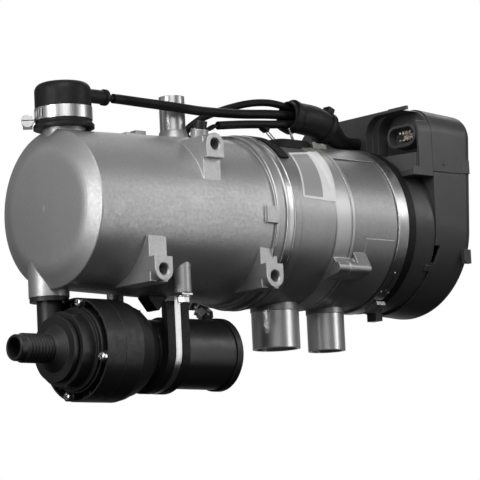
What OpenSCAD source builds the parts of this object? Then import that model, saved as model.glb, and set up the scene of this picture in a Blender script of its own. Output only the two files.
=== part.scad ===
// Diesel coolant heater for a vehicle: a burner inside a water jacket, with its fan and pump.
// Millimetres. X runs along the heater, from the closed end of the water jacket to the fan end.
// Z is up and the mounting bosses face -Y. Places along the heater are measured from the joint
// face between water jacket and burner housing, heights and sides from the heater's axis. The
// finished part is moved so that its origin is on the axis of the upper mounting hole, where the
// hole's wall starts below its countersunk mouth.

/* [Water jacket] */
// Length of the water jacket, from the joint face to the closed front face
jacket_len = 179.3; // [172:0.1:190]
// Radius of the water jacket at its front edge
jacket_front_r = 57.7; // [55:0.1:60]
// Radius of the water jacket where it meets its flange
jacket_rear_r = 62.5; // [60:0.1:64]
// Wall of the water jacket
jacket_wall = 4; // [2.5:0.1:5]
// Radius of the flat disc in the front face
front_disc_r = 44.5; // [38:0.5:50]
// Length of the chamfer round the front disc
front_chamfer = 5.8; // [3:0.1:8]
// Height of the crown of the front disc
front_crown = 1.2; // [0.4:0.1:2]
// Radius of the jacket's end flange
flange_r = 65; // [64.6:0.1:66]
// Length of the end flange along the axis
flange_t = 7.8; // [5:0.1:10]

/* [Clamped joint] */
// Radius of the lips that the joint clamp holds together
lip_r = 64.2; // [63:0.1:64.6]
// Thickness of each lip
lip_t = 2.9; // [2:0.1:4]
// Radius of the neck behind each lip
lip_neck_r = 62.2; // [61:0.1:62.5]
// Width of the neck behind each lip
lip_neck_w = 1.7; // [1.4:0.1:2.5]
// Thickness of the joint clamp's band
joint_band_t = 1.8; // [1:0.1:2.5]
// Direction of the joint clamp's bolt round the axis, in degrees
joint_bolt_angle = -53; // [-75:1:-45]

/* [Coolant outlet] */
// Distance of the coolant outlet from the joint face
outlet_from_joint = 55.9; // [45:0.1:60]
// Outer radius of the coolant outlet
outlet_r = 9.7; // [8:0.1:11]
// Wall of the coolant outlet
outlet_wall = 2.2; // [1.5:0.1:3]
// Height of the outlet's mouth above the axis
outlet_top = 92.3; // [88:0.1:100]

/* [Pump connection] */
// Distance of the jacket's inlet boss from the joint face
inlet_from_joint = 164.5; // [162:0.1:166]
// Distance of the inlet boss from the heater's middle plane
inlet_side = 19; // [16:0.1:20]
// Radius of the inlet boss
inlet_boss_r = 14.9; // [13:0.1:16]
// Depth of the inlet boss's face below the axis
inlet_drop = 61.8; // [60:0.1:64]
// Radius of the coolant bore through the inlet boss
inlet_bore_r = 6.6; // [5:0.1:8]

/* [Sensor neck and boot] */
// Distance of the sensor neck from the joint face
sensor_from_joint = 159.8; // [152:0.1:161]
// Radius of the sensor neck
neck_r = 15.6; // [14:0.1:16.5]
// Radius of the rubber boot
boot_r = 20.7; // [19.5:0.1:22]
// Height of the boot's lower edge above the axis
boot_bottom = 59.3; // [58.8:0.1:60]
// Height of the boot's top above the axis
boot_top = 93.2; // [90:0.1:97]
// Height of the middle of the boot's clamp above the axis
boot_clamp_height = 69.9; // [69:0.1:71]
// Width of the boot's clamp
boot_clamp_w = 9.1; // [7:0.1:10]
// Height of the boot's cable stub above the axis
stub_height = 86.4; // [83:0.1:87]
// Length of the boot's cable stub, from the boot's axis
stub_len = 40.1; // [38:0.1:42]

/* [Mounting bosses] */
// Distance of the mounting faces from the heater's middle plane
boss_face = 62; // [61:0.1:66]
// Radius of the rounded end of a boss
boss_r = 8.3; // [7:0.1:9]
// How far a boss stands out of its block
boss_t = 4.5; // [3:0.1:6]
// Radius of a mounting hole
boss_hole_r = 4; // [3:0.1:5]
// Depth of a mounting hole
boss_hole_depth = 18; // [12:0.5:20]
// Width of the block under a boss
block_w = 16.4; // [14:0.1:18]
// Distance of the upper boss from the joint face
upper_boss_from_joint = 68.9; // [66:0.1:90]
// Height of the upper boss above the axis
upper_boss_up = 46; // [42:0.1:47]
// Depth of the lower bosses below the axis
lower_boss_down = 48.8; // [46:0.1:50]
// Distance of the lower front boss from the joint face
lower_front_from_joint = 123; // [110:0.1:130]
// Distance of the lower rear boss from the joint face
lower_rear_from_joint = 15.8; // [15:0.1:30]

/* [Burner housing] */
// Length of the burner housing from the joint face to its rear rim
housing_len = 118; // [116:0.1:124]
// Radius of the burner housing
housing_r = 63.5; // [62.8:0.1:64]
// Wall of the burner housing
housing_wall = 4; // [3:0.1:5]
// Distance of the raised rib band from the joint face
rib_from_joint = 47.5; // [45:0.5:50]
// Width of the raised rib band
rib_w = 21; // [16:0.5:22]
// Height of the raised rib band
rib_t = 1.1; // [0.5:0.1:1.5]
// Distance of the exhaust stub from the joint face
exhaust_from_joint = 38.7; // [36:0.1:40]
// Outer radius of the exhaust stub
exhaust_r = 18.4; // [17:0.1:19.5]
// Distance of the combustion-air stub from the joint face
air_from_joint = 91.6; // [88:0.1:94]
// Outer radius of the combustion-air stub
air_r = 14.6; // [12:0.1:15.5]
// Wall of both stubs
stub_wall = 2.6; // [2:0.1:3.5]
// Depth of the stubs' mouths below the axis
stub_drop = 95; // [88:0.5:100]

/* [Fan end] */
// Width of the bright fan clamp
fan_clamp_w = 10.8; // [8:0.1:11]
// Outer radius of the fan clamp
fan_clamp_r = 65; // [64.4:0.1:66]
// Width of the rubber ring behind the fan clamp
seal_w = 9; // [7:0.1:9.6]
// Outer radius of the rubber ring
seal_r = 64.3; // [64:0.1:65]
// Radius of the fan housing
fan_housing_r = 63; // [62.8:0.1:63.4]
// Length of the fan housing behind the rubber ring
fan_housing_len = 22; // [20:0.1:26]
// Number of blades on the fan impeller
fan_blades = 16; // [9:1:21]
// Radius of the fan impeller
fan_impeller_r = 46; // [38:0.5:48]
// Radius of the fan shaft
fan_shaft_r = 3; // [2:0.1:4]

/* [Covers] */
// Half the width of the case and the cover
cover_half_w = 64.5; // [64.4:0.1:66]
// Height of the top of the case and the cover above the axis
cover_top = 92.3; // [90:0.1:98]
// Length of the end cover
cover_len = 47; // [44:0.5:54]
// Radius of the cover's upper corners
cover_corner_r = 20; // [16:0.5:24]
// Radius of the cover's rear edge
cover_edge_r = 8; // [4:0.5:10]
// Wall of the case and the cover
cover_wall = 2.5; // [1.8:0.1:3]
// Height of the case's lower edge above the axis
case_bottom = 37.7; // [36:0.1:42]

/* [Circulation pump] */
// Depth of the pump's axis below the heater's axis
pump_drop = 101.3; // [101:0.1:106]
// Radius of the pump's body and of its cover's flange
pump_r = 37.6; // [36:0.1:38]
// Radius of the pump's motor case
motor_r = 26.3; // [25:0.1:27]
// Distance from the joint face to the front of the pump cover's flange
pump_flange_from_joint = 157.3; // [156:0.1:158.5]
// Length of the hose spigot in front of the pump's face
spigot_len = 36; // [30:0.5:40]
// Radius of the hose spigot over its ridges
spigot_r = 10.7; // [9.5:0.1:12]
// Number of ridges on the hose spigot
spigot_ridges = 9; // [5:1:10]
// Radius of the hose spigot's bore
spigot_bore_r = 7.4; // [6:0.1:8]
// Number of screws in the pump cover
pump_screws = 4; // [3:1:6]
// Distance from the joint face to the middle of the pump's clip
clip_from_joint = 85; // [83:0.5:88]

/* [Inner parts] */
// Outer radius of the finned cup of the heat exchanger
exchanger_r = 49; // [46:0.5:51]
// Number of fins inside the heat exchanger
exchanger_fins = 24; // [12:1:30]
// Outer radius of the flame tube
flame_tube_r = 33; // [28:0.5:35]
// Length of the flame tube inside the heat exchanger
flame_tube_len = 122; // [90:1:130]

/* [Fits] */
// Gap between fixed pieces that sit in or round each other
seat_gap = 0.3; // [0.2:0.05:0.4]
// Radial clearance of a turning shaft in its bore
run_gap = 0.05; // [0.02:0.01:0.08]

/* [Hidden] */
$fn = 72;
fine_steps = 360;
// Overrun of every cut past the face it opens
over = 2;

// Water jacket: edge, seats and cavity
front_edge = 1.7;
crown_steps = 5;
front_fillet = 5;
fillet_steps = 4;
seat_len = 12;
seat_bore_r = 59.2;
cavity_rear_r = 57.5;
front_wall = 5;
bead_t = 0.5;
flare_h = 3;
flare_w = 2.5;
ring_room = 0.15;
sensor_bore_r = 8;
sensor_boss_r = 6.6;
sensor_boss_from_joint = 43.5;
sensor_boss_tilt = 14;
sensor_boss_top = 68.5;
plug_shank_r = 3.2;
plug_depth = 6;
temp_from_joint = 38.5;
temp_side = 5.5;
temp_floor = 58;
temp_top = 64.6;
lug_from = 22.6;
lug_out = 3;
lug_w = 10.2;
lug_low = -9.5;
lug_high = 3.4;
top_pad_from_joint = 93;
top_pad_len = 19;
top_pad_side = 10;
top_pad_w = 14;
top_pad_top = 64.6;
top_pad_rise = 2.2;
clip_bolt_from_joint = 86.6;
clip_boss_side = 39;
clip_boss_r = 6.3;
clip_hole_depth = 14;
block_lip = 2.3;
lower_boss_t = 6;
upper_block_low = 19.8;
upper_boss_low = 10;
lower_block_high = 24;
lower_boss_high = 9.5;
mouth_chamfer = 0.9;
front_hole_less = 1.5;
rear_hole_less = 3;
root_w = 0.5;
outlet_root_top = 65.8;
stub_root_drop = 66.4;

// Joint clamp: groove, gap, ears and bolt
clamp_half = lip_t + lip_neck_w - seat_gap / 2;
cheek_t = 1.1;
ear_w = 10;
ear_foot = 0.4;
ear_h = 13.6;
ear_t = 1.8;
ear_gap = 6.4;
joint_bolt_r = 3;
joint_bolt_len = 30;
joint_bolt_height = 74.8;
nut_r = 5.9;
nut_t = 8.2;
thread_gap = 0.1;

// Burner housing: flange, partition, pads and lug
ring_from_joint = 4.6;
ring_w = 7.4;
ring_rise = 0.3;
ring_r = flange_r + ring_rise;
rib_groove_from = 15.7;
rib_groove_w = 1.6;
rib_groove_t = 0.6;
partition_from_joint = 64;
partition_t = 4;
rim_w = 5.2;
housing_mouth_r = 56;
mouth_depth = 12;
pad_t = 0.9;
pad_angle = 50.5;
side_pad_t = 0.5;
side_pad_from_joint = 81;
side_pad_low = -62;
side_pad_high = -15.5;
lug_from_joint = 49.4;
hook_len = 33;
hook_step = 20.2;
hook_gap = 1;
hook_nose = [-59.3, -38.6];
hook_nose_r = 4.3;
hook_web = [[-59.3, -34.3], [-56.6, -30.4], [-50, -29], [-42, -46.6], [-44.5, -46.6], [-59.9, -42.8]];
hook_block = [[-50, -26], [-57.8, -26], [-63.1, -36.6], [-59.3, -40], [-50, -36]];

// Fan end
fan_clamp_t = 1.7;
clamp_groove = 0.7;
clamp_slot_w = 1.2;
clamp_slot_angle = 45.5;
clamp_slot_len = 13;
buckle_angle = 68;
buckle_w = 9;
buckle_shift = 4.5;
buckle_h = 3.4;
buckle_len = 13;
seal_t = 2;
tab_side = 10;
tab_w = 10;
tab_drop = 7.6;
tab_len = 7.2;
tab_from = 3.8;
catch_angle = 32;
catch_len = 5;
catch_t = 1.2;
catch_w = 5;
fan_wall = 3;
fan_rim_t = 2;
fan_rim_r = 64.2;
fan_eye_r = 24;
fan_back_t = 2.4;
fan_blade_t = 1.6;
fan_blade_w = 15;
fan_blade_curve = 30;
fan_hub_r = 9;
fan_hub_len = 14;
fan_gap = 2.5;
blade_steps = 5;
motor_wall_back = 12;
motor_can_r = 27;
motor_can_len = 34;
motor_boss_r = 12;
motor_boss_len = 5;

// Case, cover, board and connector
fan_from_joint = housing_len + seat_gap;
seal_from_joint = housing_len - rim_w + clamp_groove + fan_clamp_w;
case_from_joint = seal_from_joint + seal_w;
cover_from_joint = case_from_joint + fan_housing_len;
recess_side = 13.5;
recess_low = 56;
recess_high = 90;
recess_depth = 7.3;
pocket_depth = 18.5;
pocket_in = 2.3;
pocket_side = cover_half_w - pocket_in;
pocket_left = 19.8;
lip_low = 44.5;
lip_in = 3.2;
lip_side = cover_half_w - lip_in;
lip_cut = [[-35, 0], [-63, 6.6], [-63, -4], [-35, -4]];
recess_corner_r = 15;
case_cavity_side = 8;
latch_inset = 4.5;
rim_steps = 6;
case_ledge_t = 3;
latch_tab_len = 20;
latch_tab_t = 0.5;
latch_tab_w = 2.2;
groove_t = 0.6;
groove_w = 1.2;
cover_grooves = [40.5, -17, -29.6];
cover_clip_h = 11;
cover_clip_len = 7;
cover_clip_t = 1.4;
cover_clip_from_rear = 7;
cover_tilt = 3.8;
cover_rise = 1;
cover_clips = [[47.5, 0], [-24, 4]];
notch_shape = [[-2, -16.5], [5, -16.9], [2.4, -34.5], [0.4, -30], [-2, -26]];
wire_hole_low = 67;
wire_hole_high = 82;
dimple_r = 1.1;
dimple_from = 11.7;
dimple_heights = [46.8, -24.9];
rail_w = 8;
rail_t = 2.2;
board_height = 66;
board_t = 1.6;
board_margin = 3;
board_parts = [[6, -34, 12, 16, 7], [24, -36, 11, 20, 5], [8, -6, 16, 14, 3], [28, 4, 9, 24, 9], [10, 24, 22, 16, 6]];
socket_w = 31;
socket_h = 17.6;
socket_in = 18.1;
socket_side = cover_half_w - socket_in;
socket_height = 71;
socket_wall = 2;
socket_len = 12;
socket_floor = 3;
pin_base_t = 1;
pin_in = 2.6;
pin_side = socket_side + pin_in;
pin_height = 70.6;
pin_row_pitch = 6;
pin_r = 1.1;
pin_len = 7;
pin_pitch = 3.6;
pin_columns = 4;

// Boot, clamp and sensors
boot_flange = 1.6;
boot_flange_h = 4.2;
boot_edge_r = 6;
boot_groove_t = 0.5;
boot_roof = 4;
neck_top = 76;
boot_clamp_t = 0.7;
stub_r = 5.2;
stub_collar_r = 6.1;
stub_collar_len = 2.6;
worm_angle = 142;
worm_len = 12;
worm_low = -4.2;
worm_r = 2.2;
worm_gap = 2.2;
worm_foot_low = 1;
lead_neck_r = 2.5;
lead_neck_len = 16;
clamp_slots = 4;
clamp_slot_turn = 158;
clamp_slot_step = 9;
clamp_slot_t = 1.3;
clamp_slot_margin = 1.6;
worm_h = 7.5;
worm_t = 7;
worm_head_r = 4.7;
worm_head_len = 3;
probe_r = 4.5;
probe_tip = 52;
probe_len = 20;
probe_hex_r = 11;
probe_hex_t = 5;
plug_r = 5;
plug_t = 6;
temp_r = 4;
temp_t = 2.2;

// Leads: radii and routes, each point measured from the joint face and the heater's axis
lead_sides = 10;
lead_steps = 2;
sensor_lead_r = 3.6;
overheat_lead_r = 3.2;
temperature_lead_r = 2.8;
wire_r = 0.9;
harness_radii = [11.6, 11.9, 12.1, 12.1, 11.6, 9.6, 7.2, 5.2, 4.8];
bend_unit = 1;
sensor_lead_route = [[-112.9, 0, 86.4], [-103, 0, 86.3], [-91, -3.8, 85], [-76, -11, 82.8], [-59.5, -17.4, 80.6],
    [-42, -18, 80], [-18, -16.5, 80.8], [4, -16, 82], [24, -18, 83.3], [43.7, -19, 84]];
overheat_lead_route = [[-28, -19.5, 70], [-14, -20, 71.6], [4, -20.5, 73.4], [24, -20.5, 75], [43.7, -20.5, 76]];
temperature_lead_route = [[-38.5, 5.5, 65.4], [-38.3, 5.5, 68.4], [-33.6, 4.2, 73.2], [-24, 1, 79.8], [-12, -3, 84.9], [-1, -7, 88.6],
    [10, -10, 91.4], [21, -12.5, 93], [32, -15, 93.2], [43.7, -17.5, 92]];
sleeve_from = 44;
sleeve_run = case_from_joint - 2 * seat_gap - sleeve_from;
sleeve_shape = [[0, -19, 83.2], [0.0902, -19.3, 83], [0.1917, -19.5, 82.3], [0.3044, -19.5, 81.2], [0.4284, -18.5, 78.2],
    [0.5524, -15.5, 74.2], [0.6877, -10.5, 71.2], [0.8568, -3.6, 70.6], [1, -3.6, 70.6]];
harness_route = [for (p = sleeve_shape) [sleeve_from + p[0] * sleeve_run, p[1], p[2]]];
wire_routes = [[[-37.5, -17.5, 66.6], [-34, -18.6, 68.2], [-31, -18.8, 69.6], [-28, -18.6, 70.2]],
    [[-37.5, -20.3, 65.9], [-34, -19.9, 66.9], [-31, -20.4, 68.6], [-28, -20.6, 69.4]]];

// Ties, channel, strap and bracket on top of the burner housing
tie_t = 1.3;
tie_w = 3.6;
tie_places = [[47.6, -19.1, 83.2], [84.5, -17.9, 77.4]];
tie_radii = [12.3, 12];
tie_turns = [12, 22];
tie_head = [5, 7, 4.5];
tie_head_side = 0;
channel_from = 21;
channel_len = 39;
channel_side = 9;
channel_w = 20.5;
channel_top = 63.6;
post_places = [[18.5, 71, 28], [39.4, 71.6, 43], [47.4, 70.4, 49]];
post_len = 2.6;
post_w = 6;
strap_from_joint = 5;
strap_w = 9.5;
strap_t = 1.8;
strap_from_angle = 41;
strap_to_angle = 112;
bracket_from = 60.5;
bracket_len = 14.5;
bracket_w = 9.5;
bracket_t = 1.5;
bracket_drop = 4;

// Circulation pump
pump_face_from_flange = 19.4;
face_disc_r = 23.8;
face_disc_t = 3.4;
face_rim_w = 4.2;
face_rim_t = 1.2;
waist_r = 21.4;
waist_len = 1.8;
volute_r = 30;
volute_t = 2.7;
volute_body_r = 27;
hub_foot_r = 17;
cup_depth = 9;
cup_in_r = 31.2;
cup_out_r = 36.4;
screw_post_r = 4.3;
cup_ribs = 12;
cup_rib_t = 1.4;
ridge_t = 1.1;
spigot_lead = 6;
spigot_tail = 4;
hub_r = 11;
hub_len = 5.5;
cover_skirt = 16.8;
ridge_share = 0.75;
volute_port_up = 9;
volute_port_r = 5.4;
neck_outer_r = 9.4;
neck_flange_r = 14.4;
neck_flange_t = 3;
neck_low = 1;
neck_ring_r = 9.4;
chamber_r = 27;
chamber_len = 14;
screw_circle_r = 34.3;
screw_turn = 14;
screw_head_r = 3.3;
screw_head_t = 2.6;
screw_shank_r = 1.6;
screw_shank_len = 21;
screw_slot_w = 0.9;
body_len = 43;
body_cavity_len = 6;
body_steps = [[124, 37.5], [118.8, 36.2], [118.2, 35.2], [111, 33.2], [104, 28.6], [99.5, 24.6], [97.5, 24.2]];
cap_spigot = 4;
cap_bore_len = 4;
impeller_gap = 1.5;
pump_hub_len = 10;
pump_blade_curve = 40;
motor_case_end = 25.2;
end_cap_t = 6.6;
end_cap_r = 27.5;
end_cap_edge = 1.5;
rotor_cavity_r = 19;
rotor_r = 17.4;
rotor_len = 44;
pump_shaft_r = 2.5;
pump_impeller_r = 23;
pump_back_t = 2.2;
pump_blade_t = 1.8;
pump_blade_w = 7;
pump_blades = 6;
pump_hub_r = 6;
ring_minor_r = 1.2;

// Pump clip
clip_w = 5.7;
clip_band_t = 1.5;
liner_len = 21;
liner_r = 30.6;
liner_in_r = 24.5;
liner_high = 34.8;
stop_from_joint = 83;
stop_len = 18;
stop_drop = 70.4;
stop_w = 12;
stop_seat_r = 61;
liner_groove_t = 2.2;
clip_ear_drop = 65.3;
clip_ear_len = 17.5;
clip_bolt_r = 2.5;
clip_head_r = 4.6;
clip_head_t = 4;
clip_washer_r = 5.4;
clip_washer_t = 1;

// Inner parts
exchanger_wall = 2.6;
exchanger_gap = 15;
fin_t = 2;
fin_h = 8;
fin_margin = 6;
guide_ring_h = 2.6;
guide_ring_t = 2;
guide_rings = 4;
tube_wall = 1.5;
tube_holes = 8;
tube_hole_r = 3;
insert_r = 46;
insert_t = 3;
insert_cup_len = 26;
insert_cup_wall = 2;
cup_gap = 0.8;
swirl_holes = 10;
swirl_hole_r = 2.6;
plug_hole_side = 21;
glow_r = 3;
glow_len = 30;
glow_body_r = 6;
glow_body_len = 20;

// Places worked out from the sizes above
jacket_front = -jacket_len;
pump_flange_x = -pump_flange_from_joint;
pump_face_x = pump_flange_x - pump_face_from_flange;
pump_mouth_x = pump_face_x - spigot_len;
pump_body_x = pump_flange_x + cover_skirt;
pump_body_end = pump_body_x + body_len;
housing_bore_r = housing_r - housing_wall;
boss_back = boss_face - boss_t;
fan_front_x = fan_from_joint;

function unit(v) = v / norm(v);

// A smooth curve through a list of points, at place t along the list
function curve(p, t) = let (n = len(p) - 1, i = min(n - 1, floor(t)), f = t - i, a = p[max(0, i - 1)],
    b = p[i], c = p[i + 1], d = p[min(n, i + 2)])
    b + (c - a) * f / 2 + (2 * a - 5 * b + 4 * c - d) * f * f / 2 + (3 * b - a - 3 * c + d) * f * f * f / 2;

// Moves the heater so that the start of the upper mounting hole's wall is the origin
module at_mount() {
    translate([upper_boss_from_joint, boss_face - mouth_chamfer, -upper_boss_up]) children();
}

module at_pump() {
    at_mount() translate([0, 0, -pump_drop]) children();
}

// A turned shape along X, its outline given as radius and place
module turned(outline) {
    rotate([0, 90, 0]) rotate_extrude() polygon(outline);
}

module rod_x(from, to, r) {
    translate([from, 0, 0]) rotate([0, 90, 0]) cylinder(h = to - from, r = r);
}

module ring_x(from, to, outer, inner) {
    difference() {
        rod_x(from, to, outer);
        rod_x(from - over, to + over, inner);
    }
}

module o_ring_x(x, r) {
    translate([x, 0, 0]) rotate([0, 90, 0]) rotate_extrude() translate([r, 0]) circle(r = ring_minor_r, $fn = 24);
}

// A tube swept along a smooth route, with one radius for each point of the route
module swept(route, radii, sides = lead_sides) {
    count = (len(route) - 1) * lead_steps;
    path = [for (i = [0:count]) curve(route, i / lead_steps)];
    sizes = [for (i = [0:count]) curve(radii, i / lead_steps)];
    points = [for (i = [0:count]) let (t = unit(path[min(count, i + 1)] - path[max(0, i - 1)]),
        u = unit(cross([0, bend_unit, 0], t)), v = cross(t, u)) for (j = [0:sides - 1])
        path[i] + sizes[i] * (cos(360 * j / sides) * u + sin(360 * j / sides) * v)];
    walls = [for (i = [0:count - 1]) for (j = [0:sides - 1]) let (a = i * sides + j,
        b = i * sides + (j + 1) % sides) each [[a, a + sides, b + sides], [a, b + sides, b]]];
    first = [for (j = [1:sides - 2]) [0, j, j + 1]];
    last = [for (j = [1:sides - 2]) [count * sides, count * sides + j + 1, count * sides + j]];
    polyhedron(points = points, faces = concat(walls, first, last));
}

module swept_even(route, r, sides = lead_sides) {
    swept(route, [for (p = route) r], sides);
}

// Outline of a mounting boss seen from the front, round at one end and square at the other
module boss_outline(reach) {
    circle(r = boss_r);
    translate([-boss_r, min(0, reach)]) square([2 * boss_r, abs(reach)]);
}

module boss_block(x, z, low, high, reach, block_face) {
    translate([x - block_w / 2, -block_face, low]) cube([block_w, block_face, high - low]);
    translate([x, 0, z]) rotate([90, 0, 0]) linear_extrude(boss_face) boss_outline(reach);
}

module boss_hole(x, z, depth) {
    translate([x, -boss_face - over, z]) rotate([-90, 0, 0]) cylinder(h = depth + over, r = boss_hole_r);
    translate([x, -boss_face - mouth_chamfer, z]) rotate([-90, 0, 0]) cylinder(h = 2 * mouth_chamfer,
        r1 = boss_hole_r + 2 * mouth_chamfer, r2 = boss_hole_r);
}

// Nodes of the water jacket and its joint

module jacket_solid() {
    edge_x = jacket_front + front_chamfer;
    flange_x = -lip_t - lip_neck_w - flange_t;
    lip_back = -lip_t - lip_neck_w;
    crown = [for (i = [0:crown_steps - 1]) [front_disc_r * i / crown_steps,
        jacket_front - front_crown * (1 - pow(i / crown_steps, 2))]];
    corner = [front_disc_r, jacket_front];
    near = corner + front_fillet * unit(crown[crown_steps - 1] - corner);
    far = corner + front_fillet * unit([jacket_front_r - bead_t, edge_x] - corner);
    round_edge = [for (i = [0:fillet_steps]) let (t = i / fillet_steps)
        pow(1 - t, 2) * near + 2 * t * (1 - t) * corner + t * t * far];
    turned(concat(crown, round_edge, [[jacket_front_r - bead_t, edge_x], [jacket_front_r, edge_x + bead_t],
        [jacket_rear_r, flange_x], [flange_r, flange_x], [flange_r, lip_back], [lip_neck_r, lip_back],
        [lip_neck_r, -lip_t], [lip_r, -lip_t], [lip_r, -seat_gap / 2], [0, -seat_gap / 2]]));
}

module jacket_cavity() {
    cavity_front = jacket_front + front_wall;
    turned([[0, cavity_front], [front_disc_r - front_wall / 2, cavity_front],
        [jacket_front_r - jacket_wall, cavity_front + front_chamfer], [cavity_rear_r, -seat_len],
        [seat_bore_r, -seat_len], [seat_bore_r, over], [0, over]]);
}

module sensor_boss_place() {
    translate([-sensor_boss_from_joint, 0, 0]) rotate([sensor_boss_tilt, 0, 0]) children();
}

module water_jacket() {
    color("silver") at_mount() difference() {
        union() {
            jacket_solid();
            translate([-sensor_from_joint, 0, 0]) cylinder(h = neck_top, r = neck_r);
            translate([-outlet_from_joint, 0, 0]) cylinder(h = outlet_top, r = outlet_r);
            translate([-outlet_from_joint, 0, jacket_rear_r - flare_h]) cylinder(h = outlet_root_top - jacket_rear_r + flare_h,
                r1 = outlet_r + flare_w, r2 = outlet_r + root_w);
            translate([-inlet_from_joint, inlet_side, -inlet_drop]) cylinder(h = inlet_drop, r = inlet_boss_r);
            for (side = [-1, 1]) translate([-clip_bolt_from_joint, side * clip_boss_side, -inlet_drop])
                cylinder(h = inlet_drop / 2, r = clip_boss_r);
            sensor_boss_place() cylinder(h = sensor_boss_top, r = sensor_boss_r);
            boss_block(-upper_boss_from_joint, upper_boss_up, upper_block_low, upper_boss_up + boss_r - block_lip,
                -upper_boss_low, boss_face - boss_t);
            boss_block(-lower_front_from_joint, -lower_boss_down, -lower_boss_down - boss_r, -lower_block_high,
                lower_boss_high, boss_face - lower_boss_t);
            boss_block(-lower_rear_from_joint, -lower_boss_down, -lower_boss_down - boss_r, -lower_block_high,
                lower_boss_high, boss_face - lower_boss_t);
            translate([-lug_from, -boss_face - lug_out, lug_low]) cube([lug_w, boss_face, lug_high - lug_low]);
            translate([-top_pad_from_joint, top_pad_side, 0]) cube([top_pad_len, top_pad_w, top_pad_top]);
            translate([-top_pad_from_joint + top_pad_len / 2, top_pad_side, 0])
                cube([top_pad_len / 2, top_pad_w / 2, top_pad_top + top_pad_rise]);
        }
        jacket_cavity();
        translate([-sensor_from_joint, 0, 0]) cylinder(h = neck_top + over, r = sensor_bore_r);
        translate([-outlet_from_joint, 0, 0]) cylinder(h = outlet_top + over, r = outlet_r - outlet_wall);
        translate([-inlet_from_joint, inlet_side, -inlet_drop - over]) cylinder(h = inlet_drop, r = inlet_bore_r);
        for (side = [-1, 1]) translate([-clip_bolt_from_joint, side * clip_boss_side, -inlet_drop - over])
            cylinder(h = clip_hole_depth + over, r = clip_bolt_r + thread_gap);
        sensor_boss_place() translate([0, 0, sensor_boss_top - plug_depth]) cylinder(h = plug_depth + over,
            r = plug_shank_r + thread_gap);
        translate([-temp_from_joint, temp_side, 0]) translate([0, 0, temp_floor]) cylinder(h = jacket_rear_r,
            r = temp_r + thread_gap);
        boss_hole(-upper_boss_from_joint, upper_boss_up, boss_hole_depth);
        boss_hole(-lower_front_from_joint, -lower_boss_down, boss_hole_depth - front_hole_less);
        boss_hole(-lower_rear_from_joint, -lower_boss_down, boss_hole_depth - rear_hole_less);
    }
}

module heat_exchanger() {
    bottom = jacket_front + front_wall + exchanger_gap;
    inside = exchanger_r - exchanger_wall;
    flange_front = -seat_len + seat_gap;
    plug_r = seat_bore_r - seat_gap;
    color("silver") at_mount() {
        difference() {
            union() {
                rod_x(bottom, -seat_gap, exchanger_r);
                rod_x(flange_front, -seat_gap, plug_r);
                for (i = [1:guide_rings]) rod_x(bottom * i / (guide_rings + 1), bottom * i / (guide_rings + 1) + guide_ring_t,
                    exchanger_r + guide_ring_h);
            }
            rod_x(bottom + exchanger_wall, over, inside);
            ring_x(-seat_len / 2 - ring_minor_r - ring_room, -seat_len / 2 + ring_minor_r + ring_room, seat_bore_r + over,
                seat_bore_r - seat_gap - 2 * ring_minor_r - 2 * ring_room);
        }
        for (i = [0:exchanger_fins - 1]) rotate([360 * i / exchanger_fins, 0, 0])
            translate([bottom + fin_margin, -fin_t / 2, inside - fin_h])
                cube([-bottom - 2 * fin_margin - seat_len, fin_t, fin_h + exchanger_wall / 2]);
    }
}

module exchanger_seal() {
    color("black") at_mount() o_ring_x(-seat_len / 2, seat_bore_r - seat_gap / 2 - ring_room - ring_minor_r);
}

module flame_tube() {
    tube_end = partition_from_joint - seat_gap;
    color("silver") at_mount() difference() {
        union() {
            rod_x(-flame_tube_len, tube_end, flame_tube_r);
            rod_x(tube_end - tube_wall, tube_end, insert_r);
        }
        rod_x(-flame_tube_len - over, tube_end + over, flame_tube_r - tube_wall);
        for (i = [0:tube_holes / 2 - 1]) translate([tube_end / 2, 0, 0]) rotate([360 * i / tube_holes, 0, 0])
            translate([0, 0, -2 * flame_tube_r]) cylinder(h = 4 * flame_tube_r, r = tube_hole_r);
    }
}

module burner_insert() {
    plate_x = partition_from_joint + partition_t + seat_gap;
    cup_r = flame_tube_r - tube_wall - cup_gap;
    color("gray") at_mount() difference() {
        union() {
            rod_x(plate_x, plate_x + insert_t, insert_r);
            rod_x(plate_x - insert_cup_len, plate_x + insert_t, cup_r);
        }
        rod_x(plate_x - insert_cup_len + insert_t, plate_x, cup_r - insert_cup_wall);
        rod_x(plate_x - insert_cup_len - over, plate_x + insert_t + over, swirl_holes * swirl_hole_r / 4);
        for (i = [0:swirl_holes - 1]) rotate([360 * i / swirl_holes, 0, 0]) translate([0, plug_hole_side / 2 + swirl_hole_r, 0])
            rod_x(plate_x - insert_cup_len - over, plate_x + insert_t + over, swirl_hole_r);
        translate([0, 0, plug_hole_side]) rod_x(plate_x - insert_cup_len - over, plate_x + insert_t + over, glow_r + thread_gap);
    }
}

module glow_plug() {
    seat_x = partition_from_joint + partition_t + 2 * seat_gap + insert_t;
    color("silver") at_mount() translate([0, 0, plug_hole_side]) {
        rod_x(seat_x - glow_len, seat_x + glow_body_len, glow_r);
        rod_x(seat_x, seat_x + glow_body_len, glow_body_r);
    }
}

module joint_clamp() {
    band_r = lip_r + seat_gap + joint_band_t;
    color("silver") at_mount() {
        difference() {
            rod_x(-clamp_half, clamp_half, band_r);
            rod_x(-clamp_half - over, clamp_half + over, lip_neck_r + seat_gap);
            rod_x(-lip_t - seat_gap, lip_t + seat_gap, lip_r + seat_gap);
            rotate([joint_bolt_angle, 0, 0]) translate([-clamp_half - over, 0, -ear_gap / 2])
                cube([2 * clamp_half + 2 * over, band_r + over, ear_gap]);
        }
        for (side = [0, 1]) rotate([joint_bolt_angle, 0, 0]) mirror([0, 0, side]) joint_ear(band_r);
    }
}

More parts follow.
